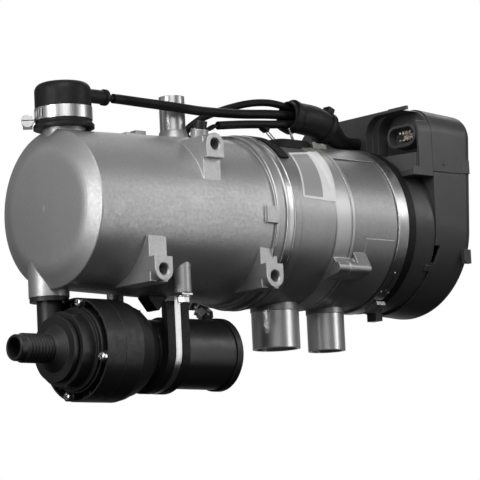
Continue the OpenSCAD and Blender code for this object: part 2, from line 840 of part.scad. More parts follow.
module joint_ear(band_r) {
    difference() {
        translate([-ear_w / 2, band_r - joint_band_t + ear_foot, ear_gap / 2]) cube([ear_w, ear_h, ear_t]);
        translate([0, joint_bolt_height, 0]) cylinder(h = joint_bolt_len, r = joint_bolt_r + seat_gap);
    }
}

module joint_clamp_bolt() {
    color("silver") at_mount() rotate([joint_bolt_angle, 0, 0]) translate([0, joint_bolt_height, 0]) {
        translate([0, 0, -joint_bolt_len / 2]) cylinder(h = joint_bolt_len, r = joint_bolt_r);
        translate([0, 0, ear_gap / 2 + ear_t + seat_gap]) linear_extrude(nut_t / 2) hexagon(nut_r);
    }
}

module joint_clamp_nut() {
    color("silver") at_mount() rotate([joint_bolt_angle, 0, 0]) translate([0, joint_bolt_height, -ear_gap / 2 - ear_t - seat_gap - nut_t])
        difference() {
            linear_extrude(nut_t) hexagon(nut_r);
            translate([0, 0, -over]) cylinder(h = nut_t + 2 * over, r = joint_bolt_r + thread_gap);
        }
}

// Nodes of the burner housing and the fan end

module housing_solid() {
    rim_r = fan_clamp_r - fan_clamp_t - seat_gap;
    ring_end = ring_from_joint + ring_w;
    rib_end = rib_from_joint + rib_w;
    groove_x = rib_from_joint + rib_groove_from;
    turned([[0, seat_gap / 2], [lip_r, seat_gap / 2], [lip_r, lip_t], [lip_neck_r, lip_t], [lip_neck_r, ring_from_joint],
        [ring_r, ring_from_joint], [ring_r, ring_end], [housing_r, ring_end], [housing_r, rib_from_joint],
        [housing_r + rib_t, rib_from_joint + rib_t], [housing_r + rib_t, groove_x],
        [housing_r + rib_t - rib_groove_t, groove_x], [housing_r + rib_t - rib_groove_t, groove_x + rib_groove_w],
        [housing_r + rib_t, groove_x + rib_groove_w], [housing_r + rib_t, rib_end - rib_t], [housing_r, rib_end],
        [housing_r, housing_len - rim_w], [rim_r, housing_len - rim_w], [rim_r, housing_len], [0, housing_len]]);
}

module housing_pads() {
    pad_from = rib_from_joint + rib_w - over;
    pad_to = housing_len - rim_w;
    pad_low = housing_r * sin(pad_angle);
    intersection() {
        rod_x(pad_from, pad_to, housing_r + pad_t);
        translate([pad_from, -housing_r, pad_low]) cube([pad_to - pad_from, 2 * housing_r, housing_r]);
    }
    intersection() {
        rod_x(side_pad_from_joint, pad_to - over, housing_r + side_pad_t);
        translate([side_pad_from_joint, -2 * housing_r, side_pad_low]) cube([pad_to, 2 * housing_r, side_pad_high - side_pad_low]);
    }
}

module hook_lug() {
    across(lug_from_joint, lug_from_joint + hook_len) {
        translate(hook_nose) circle(r = hook_nose_r);
        polygon(hook_web);
    }
    across(lug_from_joint + hook_step, lug_from_joint + hook_len) polygon(hook_block);
    across(lug_from_joint + hook_step / 2 + hook_gap, lug_from_joint + hook_step) translate(hook_nose) circle(r = hook_nose_r + hook_gap / 2);
}

module burner_housing() {
    color("dimgray") at_mount() difference() {
        union() {
            housing_solid();
            housing_pads();
            hook_lug();
            translate([exhaust_from_joint, 0, -stub_drop]) cylinder(h = stub_drop, r = exhaust_r);
            translate([exhaust_from_joint, 0, -stub_root_drop]) cylinder(h = stub_root_drop, r = exhaust_r + root_w);
            translate([air_from_joint, 0, -stub_drop]) cylinder(h = stub_drop, r = air_r);
            translate([air_from_joint, 0, -stub_root_drop]) cylinder(h = stub_root_drop, r = air_r + root_w);
        }
        rod_x(-over, mouth_depth, housing_mouth_r);
        rod_x(mouth_depth - over, partition_from_joint, housing_bore_r);
        rod_x(partition_from_joint - over, partition_from_joint + partition_t + over, flame_tube_r - tube_wall - cup_gap + seat_gap);
        rod_x(partition_from_joint + partition_t, housing_len + over, housing_bore_r);
        translate([exhaust_from_joint, 0, -stub_drop - over]) cylinder(h = stub_drop, r = exhaust_r - stub_wall);
        translate([air_from_joint, 0, -stub_drop - over]) cylinder(h = stub_drop, r = air_r - stub_wall);
    }
}

module fan_clamp() {
    from = housing_len - rim_w + clamp_groove;
    color("silver") at_mount() difference() {
        ring_x(from, from + fan_clamp_w, fan_clamp_r, fan_clamp_r - fan_clamp_t);
        rotate([clamp_slot_angle, 0, 0]) translate([from + fan_clamp_w / 2, -fan_clamp_r - over, -clamp_slot_len / 2])
            cube([clamp_slot_w, fan_clamp_r / 2, clamp_slot_len]);
    }
}

module fan_clamp_buckle() {
    from = housing_len - rim_w + clamp_groove + buckle_shift;
    color("silver") at_mount() rotate([buckle_angle, 0, 0]) translate([from, -fan_clamp_r - seat_gap - buckle_h, -buckle_len / 2])
        cube([buckle_w, buckle_h, buckle_len]);
}

module fan_seal() {
    color("black") at_mount() ring_x(seal_from_joint + seat_gap, case_from_joint - seat_gap, seal_r, seal_r - seal_t);
}

module fan_housing() {
    front_r = fan_clamp_r - fan_clamp_t - seat_gap;
    groove_r = seal_r - seal_t - seat_gap;
    inner_r = groove_r - fan_wall;
    wall_x = cover_from_joint - motor_wall_back;
    color("dimgray") at_mount() difference() {
        union() {
            rod_x(fan_from_joint, seal_from_joint, front_r);
            rod_x(seal_from_joint - over, case_from_joint, groove_r);
            rod_x(case_from_joint, cover_from_joint - seat_gap, fan_housing_r);
            translate([case_from_joint + tab_from, -tab_side, -fan_housing_r - tab_drop]) cube([tab_len, tab_w, 2 * tab_drop]);
            rotate([catch_angle, 0, 0]) translate([cover_from_joint - seat_gap - catch_len, -fan_housing_r - catch_t, -catch_w / 2])
                cube([catch_len, catch_w, catch_w]);
        }
        rod_x(fan_from_joint - over, wall_x, inner_r);
        rod_x(wall_x + fan_wall, cover_from_joint + over, inner_r);
        rod_x(wall_x - over, wall_x + fan_wall + over, fan_hub_r);
    }
}

module blade(outer, inner, thick, width, bend) {
    mid = (outer + inner) / 2;
    points = [for (i = [0:blade_steps]) let (f = i / blade_steps, r = inner + (outer - inner) * f,
        a = -bend * f * (1 + f) / 2) r * [cos(a), sin(a)]];
    back = [for (i = [blade_steps:-1:0]) let (f = i / blade_steps, r = inner + (outer - inner) * f,
        a = -bend * f * (1 + f) / 2) r * [cos(a), sin(a)] + thick * [-sin(a), cos(a)]];
    linear_extrude(width) polygon(concat(points, back));
}

module fan_impeller() {
    back_x = cover_from_joint - motor_wall_back - fan_gap;
    color("gray") at_mount() difference() {
        union() {
            rod_x(back_x - fan_back_t, back_x, fan_impeller_r);
            rod_x(back_x - fan_hub_len, back_x, fan_hub_r);
            for (i = [0:fan_blades - 1]) rotate([360 * i / fan_blades, 0, 0]) translate([back_x - fan_back_t / 2, 0, 0])
                rotate([0, -90, 0]) blade(fan_impeller_r - fan_blade_t, fan_eye_r, fan_blade_t, fan_blade_w, fan_blade_curve);
        }
        rod_x(back_x - fan_hub_len - over, back_x + over, fan_shaft_r);
    }
}

module fan_shaft() {
    back_x = cover_from_joint - motor_wall_back - fan_gap;
    color("silver") at_mount() rod_x(back_x - fan_hub_len, back_x + fan_gap + motor_can_len, fan_shaft_r);
}

module fan_motor() {
    from = cover_from_joint - motor_wall_back + fan_wall + seat_gap;
    color("gray") at_mount() difference() {
        union() {
            rod_x(from, from + motor_can_len, motor_can_r);
            rod_x(from + motor_can_len - over, from + motor_can_len + motor_boss_len, motor_boss_r);
        }
        rod_x(from - over, from + motor_can_len - motor_boss_len + over, fan_shaft_r + run_gap);
    }
}

// Nodes of the case and the cover

// The D shaped block of the covers, pulled in by a wall thickness for the room inside
module cover_block(from, to, inset, edge) {
    half = cover_half_w - inset;
    corner = cover_corner_r - inset;
    r = max(edge - inset, wire_r);
    side = cover_half_w - cover_corner_r;
    top = cover_top + cover_rise - cover_corner_r;
    turned(rounded_rim(from, to, half, r));
    linear_extrude(top) rounded_plan(from, to, half, r);
    translate([0, side, 0]) rotate([90, 0, 0]) linear_extrude(2 * side) rounded_side(from, to, cover_top + cover_rise - inset, r);
    for (y = [-side, side]) translate([0, y, top]) turned(rounded_rim(from, to, corner, r));
}

function rounded_rim(from, to, r, edge) = concat([[0, from], [r, from]],
    [for (i = [0:rim_steps]) let (a = 90 * i / rim_steps) [r - edge + edge * cos(a), to - edge + edge * sin(a)]], [[0, to]]);

module rounded_plan(from, to, half, r) {
    rim = rounded_rim(from, to, half, r);
    polygon(concat([for (p = rim) [p[1], p[0]]], [for (i = [len(rim) - 2:-1:1]) [rim[i][1], -rim[i][0]]]));
}

module rounded_side(from, to, high, r) {
    polygon([for (p = rounded_rim(from, to, high, r)) [p[1], p[0]]]);
}

module recess_shape() {
    translate([-cover_half_w - over, recess_low]) square([cover_half_w + over - recess_side - recess_corner_r, recess_high - recess_low]);
    translate([-cover_half_w - over, recess_low]) square([cover_half_w + over - recess_side, recess_high - recess_low - recess_corner_r]);
    translate([-recess_side - recess_corner_r, recess_high - recess_corner_r]) circle(r = recess_corner_r);
}

module pocket_shape() {
    intersection() {
        translate([recess_side - pocket_left, 0]) recess_shape();
        translate([-pocket_side, recess_low]) square([pocket_side, recess_high]);
    }
}

// Stands a drawing of Y and Z up on the X axis
module across(from, to) {
    translate([from, 0, 0]) rotate([90, 0, 90]) linear_extrude(to - from) children();
}

module control_case() {
    from = case_from_joint;
    to = cover_from_joint - seat_gap;
    color("black") at_mount() difference() {
        union() {
            across(from, to) case_outline();
            translate([from, -cover_half_w + latch_inset, cover_top - cover_corner_r])
                cube([latch_tab_w, latch_tab_len, cover_corner_r + latch_tab_t]);
        }
        rod_x(from - over, to + over, fan_housing_r + seat_gap);
        across(from - over, from + recess_depth) recess_shape();
        across(from, from + pocket_depth) pocket_shape();
        translate([from - over, -cover_half_w - over, lip_low]) cube([recess_depth + over, cover_half_w + over - lip_side, recess_low - lip_low + over]);
        translate([from, 0, lip_low - over]) linear_extrude(recess_low - lip_low + 2 * over) polygon([for (p = lip_cut) [p[1], p[0]]]);
        translate([from + case_ledge_t, case_cavity_side, 0]) across(0, to) translate([-recess_side / 2, recess_low])
            square([cover_half_w - cover_corner_r, cover_top - recess_low - cover_wall]);
    }
}

module case_outline() {
    side = cover_half_w - cover_corner_r;
    translate([-cover_half_w, case_bottom]) square([2 * cover_half_w, cover_top - cover_corner_r - case_bottom]);
    translate([-side, case_bottom]) square([2 * side, cover_top - case_bottom]);
    for (y = [-side, side]) translate([y, cover_top - cover_corner_r]) circle(r = cover_corner_r);
}

module end_cover() {
    from = cover_from_joint;
    clip_x = from + cover_len - cover_clip_from_rear - cover_clip_len;
    color("black") at_mount() difference() {
        union() {
            difference() {
                tilted_block(from, 0);
                translate([from - cover_len, -cover_top, -cover_top]) cube([cover_len, 2 * cover_top, 3 * cover_top]);
            }
            for (c = cover_clips) translate([clip_x - c[1], -cover_half_w - cover_clip_t / 2, c[0] - cover_clip_h / 2])
                cube([cover_clip_len, cover_clip_t + cover_wall, cover_clip_h]);
        }
        difference() {
            tilted_block(from, cover_wall);
            translate([from + cover_wall - cover_len, -cover_top, -cover_top]) cube([cover_len, 2 * cover_top, 3 * cover_top]);
        }
        rod_x(from - over, from + 2 * cover_wall, seal_r - seal_t - seat_gap - fan_wall);
        translate([from - over, -cover_corner_r, wire_hole_low]) cube([2 * cover_wall + over, 2 * cover_corner_r, wire_hole_high - wire_hole_low]);
        for (z = cover_grooves) translate([from - over, -cover_half_w - over, z]) cube([cover_len - 2 * cover_clip_len, over + groove_t, groove_w]);
        translate([from, -cover_half_w / 2, 0]) rotate([90, 0, 0]) linear_extrude(cover_half_w) polygon(notch_shape);
        for (i = [0, 1]) translate([from + dimple_from, -cover_half_w - over, dimple_heights[i]]) rotate([-90, 0, 0])
            cylinder(h = over + groove_t, r = dimple_r);
    }
    color("black") at_mount() for (side = [-1, 1])
        translate([from + cover_len / 4, side * (cover_half_w - cover_wall - rail_w / 2) - rail_w / 2 - wire_r, board_height - seat_gap - rail_t])
            cube([cover_len / 2, rail_w + 2 * wire_r, rail_t]);
}

// The block behind the end cover leans back, so that the cover is deeper at its top
module tilted_block(from, inset) {
    depth = cover_len - (cover_top - cover_edge_r) * tan(cover_tilt);
    translate([from, 0, 0]) rotate([0, cover_tilt, 0]) cover_block(-cover_len / 2, depth - inset, inset, cover_edge_r);
}

module control_board() {
    from = cover_from_joint + board_margin;
    depth = cover_len - cover_wall - 2 * board_margin;
    half = cover_half_w - cover_wall - board_margin;
    color("green") at_mount() {
        translate([from, -half, board_height]) cube([depth, 2 * half, board_t]);
        for (p = board_parts) translate([from + p[0], p[1], board_height + board_t / 2]) cube([p[2], p[3], p[4] + board_t / 2]);
    }
}

module socket_outline(inset) {
    r = socket_h / 2 - inset;
    square([socket_w - socket_h, 2 * r], center = true);
    for (y = [-1, 1]) translate([y * (socket_w - socket_h) / 2, 0]) circle(r = r);
}

module connector_socket() {
    back = case_from_joint + pocket_depth - seat_gap;
    color("black") at_mount() difference() {
        across(back - socket_len, back) translate([-socket_side, socket_height]) socket_outline(0);
        across(back - socket_len - over, back - socket_floor) translate([-socket_side, socket_height])
            socket_outline(socket_wall);
    }
}

module connector_pins() {
    back = case_from_joint + pocket_depth - 2 * seat_gap - socket_floor;
    color("gold") at_mount() {
        across(back - pin_base_t, back) translate([-pin_side, pin_height])
            square([pin_pitch * (pin_columns - 1) + 3 * pin_r, pin_row_pitch + 3 * pin_r], center = true);
        for (i = [0:pin_columns - 1]) for (j = [0:1]) translate([0, -pin_side + pin_pitch * (i - (pin_columns - 1) / 2),
            pin_height + pin_row_pitch * (j - 1 / 2)]) rod_x(back - pin_len, back - pin_base_t / 2, pin_r);
    }
}

// Nodes of the sensors

module sensor_boot() {
    edge = boot_edge_r;
    groove_low = boot_clamp_height - boot_clamp_w / 2 - seat_gap;
    groove_high = boot_clamp_height + boot_clamp_w / 2 + seat_gap;
    corner = [for (i = [0:rim_steps]) let (a = 90 * i / rim_steps) [boot_r - edge + edge * cos(a), boot_top - edge + edge * sin(a)]];
    color("black") at_mount() translate([-sensor_from_joint, 0, 0]) difference() {
        union() {
            rotate_extrude() polygon(concat([[0, boot_bottom], [boot_r + boot_flange, boot_bottom],
                [boot_r + boot_flange, boot_bottom + boot_flange_h - boot_flange], [boot_r, boot_bottom + boot_flange_h],
                [boot_r, groove_low], [boot_r - boot_groove_t, groove_low], [boot_r - boot_groove_t, groove_high],
                [boot_r, groove_high]], corner, [[0, boot_top]]));
            translate([0, 0, stub_height]) rod_x(0, stub_len, stub_r);
            translate([0, 0, stub_height]) rod_x(stub_len - stub_collar_len, stub_len, stub_collar_r);
        }
        translate([0, 0, boot_bottom - over]) cylinder(h = over + neck_top - boot_bottom + seat_gap, r = neck_r + seat_gap);
        translate([0, 0, neck_top]) cylinder(h = boot_top - neck_top - boot_roof, r = neck_r - seat_gap);
        translate([0, 0, stub_height]) rod_x(0, stub_len + over, lead_neck_r + thread_gap);
    }
}

module boot_clamp() {
    inner = boot_r - boot_groove_t + seat_gap;
    color("silver") at_mount() translate([-sensor_from_joint, 0, boot_clamp_height - boot_clamp_w / 2]) {
        difference() {
            cylinder(h = boot_clamp_w, r = inner + boot_clamp_t);
            translate([0, 0, -over]) cylinder(h = boot_clamp_w + 2 * over, r = inner);
            for (i = [0:clamp_slots - 1]) rotate([0, 0, clamp_slot_turn + i * clamp_slot_step])
                translate([inner / 2, -clamp_slot_t / 2, clamp_slot_margin]) cube([boot_r, clamp_slot_t, boot_clamp_w - 2 * clamp_slot_margin]);
        }
        rotate([0, 0, worm_angle]) difference() {
            union() {
                translate([inner + worm_gap, -worm_len / 2, worm_low]) cube([worm_t, worm_len, worm_h]);
                translate([inner + boot_clamp_t / 2, -worm_len / 2, worm_foot_low]) cube([worm_gap, worm_len, worm_foot_low]);
            }
            translate([inner + worm_gap + worm_t / 2, -worm_len, worm_low + worm_h / 2]) rotate([-90, 0, 0])
                cylinder(h = 2 * worm_len, r = worm_r + seat_gap);
        }
    }
}

module boot_clamp_screw() {
    inner = boot_r - boot_groove_t + seat_gap + worm_gap;
    color("silver") at_mount() translate([-sensor_from_joint, 0, boot_clamp_height - boot_clamp_w / 2])
        rotate([0, 0, worm_angle]) translate([inner + worm_t / 2, worm_len / 2, worm_low + worm_h / 2]) rotate([-90, 0, 0])
            difference() {
                union() {
                    translate([0, 0, -worm_len]) cylinder(h = worm_len + worm_head_len, r = worm_r);
                    translate([0, 0, seat_gap]) cylinder(h = worm_head_len, r = worm_head_r);
                }
                translate([-worm_head_r - over, -screw_slot_w / 2, seat_gap + worm_head_len - screw_slot_w])
                    cube([2 * worm_head_r + 2 * over, screw_slot_w, screw_slot_w + over]);
            }
}

module coolant_sensor() {
    color("gold") at_mount() translate([-sensor_from_joint, 0, 0]) {
        translate([0, 0, neck_top - probe_len]) cylinder(h = probe_len + probe_hex_t, r = sensor_bore_r - seat_gap);
        translate([0, 0, probe_tip]) cylinder(h = neck_top - probe_tip, r = probe_r);
        translate([0, 0, neck_top + seat_gap]) linear_extrude(probe_hex_t) hexagon(probe_hex_r);
    }
}

module overheat_sensor() {
    color("silver") at_mount() sensor_boss_place() {
        translate([0, 0, sensor_boss_top - plug_depth + seat_gap]) cylinder(h = plug_depth, r = plug_shank_r);
        translate([0, 0, sensor_boss_top + seat_gap]) cylinder(h = plug_t, r = plug_r);
    }
}

module temperature_sensor() {
    color("black") at_mount() translate([-temp_from_joint, temp_side, temp_floor + seat_gap]) {
        cylinder(h = temp_top - temp_floor, r = temp_r);
        translate([0, 0, jacket_rear_r - temp_floor]) cylinder(h = temp_t, r = temp_r + seat_gap);
    }
}

// Nodes of the leads and what holds them

module sensor_lead() {
    color("black") at_mount() {
        swept_even(sensor_lead_route, sensor_lead_r);
        translate([sensor_lead_route[0][0] - lead_neck_len, 0, stub_height]) rod_x(0, lead_neck_len + over, lead_neck_r);
    }
}

module overheat_lead() {
    color("black") at_mount() {
        swept_even(overheat_lead_route, overheat_lead_r);
        for (route = wire_routes) swept_even(route, wire_r, 8);
    }
}

module temperature_lead() {
    color("black") at_mount() swept_even(temperature_lead_route, temperature_lead_r);
}

module harness_sleeve() {
    color("black") at_mount() swept(harness_route, harness_radii, 12);
}

module cable_ties() {
    color("black") at_mount() for (i = [0, 1]) translate([tie_places[i][0], tie_places[i][1], tie_places[i][2]]) rotate([0, tie_turns[i], 0]) {
        ring_x(-tie_w / 2, tie_w / 2, tie_radii[i] + tie_t, tie_radii[i]);
        if (i == 1) translate([-tie_head[0] / 2, tie_head_side - tie_head[1] / 2, tie_radii[i] + seat_gap]) cube(tie_head);
    }
}

module cable_channel() {
    color("black") at_mount() difference() {
        union() {
            translate([channel_from, -channel_side - channel_w, 0]) cube([channel_len, channel_w, channel_top]);
            for (p = post_places) translate([0, -channel_side - channel_w / 2 + post_w / 2, 0]) rotate([90, 0, 0]) linear_extrude(post_w)
                polygon([[p[0], p[1]], [p[2], channel_top - over], [p[2] + post_len, channel_top - over], [p[0] + post_len, p[1]]]);
        }
        rod_x(channel_from - over, channel_from + channel_len + over, housing_r + rib_t + seat_gap, $fn = fine_steps);
    }
}

module cable_strap() {
    inner = ring_r + seat_gap;
    color("black") at_mount() intersection() {
        ring_x(strap_from_joint, strap_from_joint + strap_w, inner + strap_t, inner);
        across(strap_from_joint - over, strap_from_joint + strap_w + over) wedge(strap_from_angle, strap_to_angle, 2 * ring_r);
    }
}

// A wedge of the Y and Z plane, its angles counted from the near side upwards
module wedge(from, to, r) {
    mid = (from + to) / 2;
    polygon([[0, 0], r * [-cos(from), sin(from)], r * [-cos(mid), sin(mid)], r * [-cos(to), sin(to)]]);
}

module harness_bracket() {
    color("silver") at_mount() difference() {
        translate([bracket_from, -channel_side - channel_w, channel_top - 2 * bracket_drop])
            cube([bracket_len, bracket_w, 2 * bracket_drop]);
        rod_x(bracket_from - over, bracket_from + bracket_len + over, housing_r + rib_t + seat_gap, $fn = fine_steps);
    }
}

// Nodes of the circulation pump

module spigot_outline_part() {
    pitch = (spigot_len - spigot_lead - spigot_tail) / spigot_ridges;
    base = spigot_r - ridge_t;
    steps = [for (i = [0:spigot_ridges - 1]) let (x = pump_mouth_x + spigot_lead + i * pitch)
        each [[base, x], [spigot_r, x + pitch * ridge_share / 2], [spigot_r, x + pitch * ridge_share],
            [base, x + pitch * ridge_share + ridge_t / 4]]];
    turned(concat([[0, pump_mouth_x], [base - ridge_t / 2, pump_mouth_x], [base, pump_mouth_x + ridge_t]], steps,
        [[base, pump_face_x + over], [0, pump_face_x + over]]));
}

// The open ring in the front of the pump cover, with its ribs and screw posts left standing
module pump_cover_cup() {
    difference() {
        ring_x(pump_flange_x - over, pump_flange_x + cup_depth, cup_out_r, cup_in_r);
        for (i = [0:pump_screws - 1]) rotate([screw_turn + 360 * i / pump_screws, 0, 0]) translate([0, screw_circle_r, 0])
            rod_x(pump_flange_x - 2 * over, pump_flange_x + 2 * cup_depth, screw_post_r);
        for (i = [0:cup_ribs - 1]) rotate([360 * (i + 1 / 2) / cup_ribs, 0, 0])
            translate([pump_flange_x + cup_depth / 2, 0, -cup_rib_t / 2]) cube([cup_depth, pump_r, cup_rib_t]);
        at_neck() cylinder(h = pump_drop, r = neck_outer_r);
    }
}

module at_neck() {
    translate([-inlet_from_joint, inlet_side, neck_low]) children();
}

module pump_cover() {
    ring_x0 = pump_flange_x - volute_t;
    skirt_end = pump_flange_x + cover_skirt;
    color("black") difference() {
        union() {
            at_pump() {
                spigot_outline_part();
                turned([[0, pump_face_x - hub_len], [hub_r, pump_face_x - hub_len], [hub_foot_r, pump_face_x],
                    [hub_foot_r, pump_face_x + over], [0, pump_face_x + over]]);
                rod_x(pump_face_x, pump_face_x + face_disc_t, face_disc_r);
                rod_x(pump_face_x, pump_flange_x, waist_r);
                rod_x(pump_face_x + face_disc_t + waist_len, pump_flange_x, volute_body_r);
                rod_x(ring_x0, skirt_end, volute_r);
                rod_x(pump_flange_x, skirt_end, pump_r);
            }
            at_mount() translate([-inlet_from_joint, inlet_side, 0]) {
                translate([0, 0, -pump_drop + neck_low]) cylinder(h = pump_drop - neck_low - inlet_drop - seat_gap, r = neck_outer_r);
                translate([0, 0, -inlet_drop - seat_gap - neck_flange_t]) cylinder(h = neck_flange_t, r = neck_flange_r);
            }
        }
        at_pump() {
            rod_x(pump_mouth_x - over, skirt_end - chamber_len + over, spigot_bore_r);
            rod_x(skirt_end - chamber_len, skirt_end + over, chamber_r);
            pump_cover_cup();
            translate([0, inlet_side, volute_port_up]) rod_x(-inlet_from_joint, skirt_end - chamber_len + over, volute_port_r);
            for (i = [0:pump_screws - 1]) rotate([screw_turn + 360 * i / pump_screws, 0, 0]) translate([0, screw_circle_r, 0])
                rod_x(pump_flange_x - over, skirt_end + over, screw_shank_r + thread_gap);
        }
        at_mount() translate([-inlet_from_joint, inlet_side, 0]) {
            translate([0, 0, -pump_drop + volute_port_up]) cylinder(h = pump_drop, r = inlet_bore_r - seat_gap);
            translate([0, 0, -inlet_drop - seat_gap - 2 * ring_minor_r]) difference() {
                cylinder(h = pump_drop, r = neck_ring_r + ring_minor_r + ring_room);
                translate([0, 0, -over]) cylinder(h = pump_drop + 2 * over, r = neck_ring_r - ring_minor_r - ring_room);
            }
        }
    }
}

module pump_cover_screws() {
    color("silver") at_pump() for (i = [0:pump_screws - 1]) rotate([screw_turn + 360 * i / pump_screws, 0, 0])
        translate([0, screw_circle_r, 0]) {
            rod_x(pump_flange_x - screw_head_t, pump_flange_x + screw_shank_len, screw_shank_r);
            rod_x(pump_flange_x - seat_gap - screw_head_t, pump_flange_x - seat_gap, screw_head_r);
        }
}

module pump_seal() {
    color("black") at_pump() o_ring_x(pump_body_x + seat_gap + ring_minor_r + ring_room, chamber_r + 2 * ring_minor_r);
}

module neck_seal() {
    color("black") at_mount() translate([-inlet_from_joint, inlet_side, -inlet_drop - seat_gap - ring_minor_r + ring_room / 2])
        rotate_extrude() translate([neck_ring_r, 0]) circle(r = ring_minor_r, $fn = 24);
}

module pump_body() {
    from = pump_body_x + seat_gap;
    color("dimgray") at_pump() difference() {
        turned(concat([[0, from], [pump_r, from]], [for (p = body_steps) [p[1], -p[0]]], [[0, pump_body_end]]));
        rod_x(from - over, pump_body_end + over, pump_shaft_r + run_gap);
        rod_x(pump_body_end - body_cavity_len, pump_body_end + over, rotor_cavity_r);
        ring_x(from - over, from + 2 * ring_minor_r + 2 * ring_room, chamber_r + 3 * ring_minor_r + ring_room,
            chamber_r + ring_minor_r - ring_room);
        for (i = [0:pump_screws - 1]) rotate([screw_turn + 360 * i / pump_screws, 0, 0]) translate([0, screw_circle_r, 0])
            rod_x(from - over, pump_flange_x + screw_shank_len + seat_gap, screw_shank_r + thread_gap);
    }
}

module pump_motor_case() {
    color("silver") at_pump() difference() {
        union() {
            rod_x(pump_body_end + seat_gap, -clip_from_joint, body_steps[len(body_steps) - 1][1]);
            rod_x(-clip_from_joint + clip_w, -motor_case_end - seat_gap, motor_r);
            rod_x(-clip_from_joint - over, -clip_from_joint + 2 * clip_w, body_steps[len(body_steps) - 1][1]);
        }
        rod_x(pump_body_end - over, over, rotor_cavity_r);
    }
}

module pump_end_cap() {
    color("gray") at_pump() difference() {
        union() {
            rod_x(-motor_case_end, -motor_case_end + end_cap_t - end_cap_edge, end_cap_r);
            turned([[0, -motor_case_end], [end_cap_r, -motor_case_end], [end_cap_r, -motor_case_end + end_cap_t - end_cap_edge],
                [end_cap_r - end_cap_edge, -motor_case_end + end_cap_t], [0, -motor_case_end + end_cap_t]]);
            rod_x(-motor_case_end - cap_spigot, -motor_case_end + over, rotor_cavity_r - seat_gap);
        }
        rod_x(-motor_case_end - cap_spigot - over, -motor_case_end + cap_bore_len, pump_shaft_r + run_gap);
    }
}

module pump_impeller() {
    back_x = pump_body_x - impeller_gap;
    color("black") at_pump() difference() {
        union() {
            rod_x(back_x - pump_back_t, back_x, pump_impeller_r);
            rod_x(back_x - pump_hub_len, back_x, pump_hub_r);
            for (i = [0:pump_blades - 1]) rotate([360 * i / pump_blades, 0, 0]) translate([back_x - pump_back_t / 2, 0, 0])
                rotate([0, -90, 0]) blade(pump_impeller_r - pump_blade_t, pump_hub_r - pump_blade_t, pump_blade_t, pump_blade_w, pump_blade_curve);
        }
        rod_x(back_x - pump_hub_len - over, back_x + over, pump_shaft_r);
    }
}

module pump_shaft() {
    back_x = pump_body_x - impeller_gap;
    rotor_x = (pump_body_end - motor_case_end - rotor_len) / 2;
    color("silver") at_pump() {
        rod_x(back_x - pump_hub_len, -motor_case_end + cap_bore_len - seat_gap, pump_shaft_r);
        rod_x(rotor_x, rotor_x + rotor_len, rotor_r);
    }
}

module pump_clip() {
    inner = liner_r - liner_groove_t + seat_gap;
    top = pump_drop - inlet_drop - seat_gap;
    color("silver") at_pump() difference() {
        union() {
            across(-clip_from_joint - clip_w / 2, -clip_from_joint + clip_w / 2) u_shape(inner, inner + clip_band_t, top);
            for (side = [0, 1]) mirror([0, side, 0]) across(-clip_bolt_from_joint - ear_w / 2, -clip_bolt_from_joint + ear_w / 2)
                translate([-clip_boss_side - ear_w / 2, top - clip_band_t]) square([clip_boss_side + ear_w / 2 - inner, clip_band_t]);
        }
        for (side = [-1, 1]) translate([-clip_bolt_from_joint, side * clip_boss_side, top - clip_band_t - over])
            cylinder(h = clip_band_t + 2 * over, r = clip_bolt_r + seat_gap);
    }
}

// A band that runs round the lower half of the pump and straight up on both sides
module u_shape(inner, outer, high) {
    difference() {
        union() {
            circle(r = outer);
            translate([-outer, 0]) square([2 * outer, high]);
        }
        circle(r = inner);
        translate([-inner, 0]) square([2 * inner, high + over]);
    }
}

module clip_liner() {
    from = -clip_from_joint - liner_len / 2;
    color("black") at_pump() difference() {
        across(from, from + liner_len) u_shape(liner_in_r, liner_r, liner_high);
        across(-clip_from_joint - clip_w / 2 - seat_gap, -clip_from_joint + clip_w / 2 + seat_gap)
            u_shape(liner_r - liner_groove_t, liner_r + over, liner_high + over);
        rod_x(-clip_from_joint + clip_w - seat_gap, from + liner_len + over, motor_r + seat_gap);
    }
}

module clip_bolts() {
    under = -inlet_drop - seat_gap - clip_band_t - seat_gap;
    color("silver") at_mount() for (side = [-1, 1]) translate([-clip_bolt_from_joint, side * clip_boss_side, under - clip_washer_t]) {
        cylinder(h = clip_washer_t, r = clip_washer_r);
        translate([0, 0, -clip_head_t]) linear_extrude(clip_head_t) hexagon(clip_head_r);
        cylinder(h = clip_hole_depth + clip_band_t, r = clip_bolt_r);
    }
}

// Rubber wedge under the jacket, between the legs of the pump's clip
module pump_stop() {
    color("black") at_mount() difference() {
        translate([0, stop_w / 2, 0]) rotate([90, 0, 0]) linear_extrude(stop_w) polygon([[-stop_from_joint - stop_len / 2, -stop_drop / 2],
            [-stop_from_joint - stop_len / 2, -stop_seat_r], [-stop_from_joint - wire_r, -stop_drop], [-stop_from_joint + wire_r, -stop_drop],
            [-stop_from_joint + stop_len / 2, -stop_seat_r], [-stop_from_joint + stop_len / 2, -stop_drop / 2]]);
        jacket_solid();
    }
}

module hexagon(r) {
    polygon([for (i = [0:5]) r * [cos(60 * i), sin(60 * i)]]);
}

water_jacket();
heat_exchanger();
exchanger_seal();
flame_tube();
burner_insert();
glow_plug();
joint_clamp();
joint_clamp_bolt();
joint_clamp_nut();
burner_housing();
fan_clamp();
fan_clamp_buckle();
fan_seal();
fan_housing();
fan_impeller();
fan_shaft();
fan_motor();
control_case();
end_cover();
control_board();
connector_socket();
connector_pins();
sensor_boot();
boot_clamp();
boot_clamp_screw();
coolant_sensor();
overheat_sensor();
temperature_sensor();
sensor_lead();
overheat_lead();
temperature_lead();
harness_sleeve();
cable_ties();
cable_channel();
cable_strap();
harness_bracket();
pump_cover();
pump_cover_screws();
pump_seal();
neck_seal();
pump_body();
pump_motor_case();
pump_end_cap();
pump_impeller();
pump_shaft();
pump_clip();
clip_liner();
clip_bolts();
pump_stop();
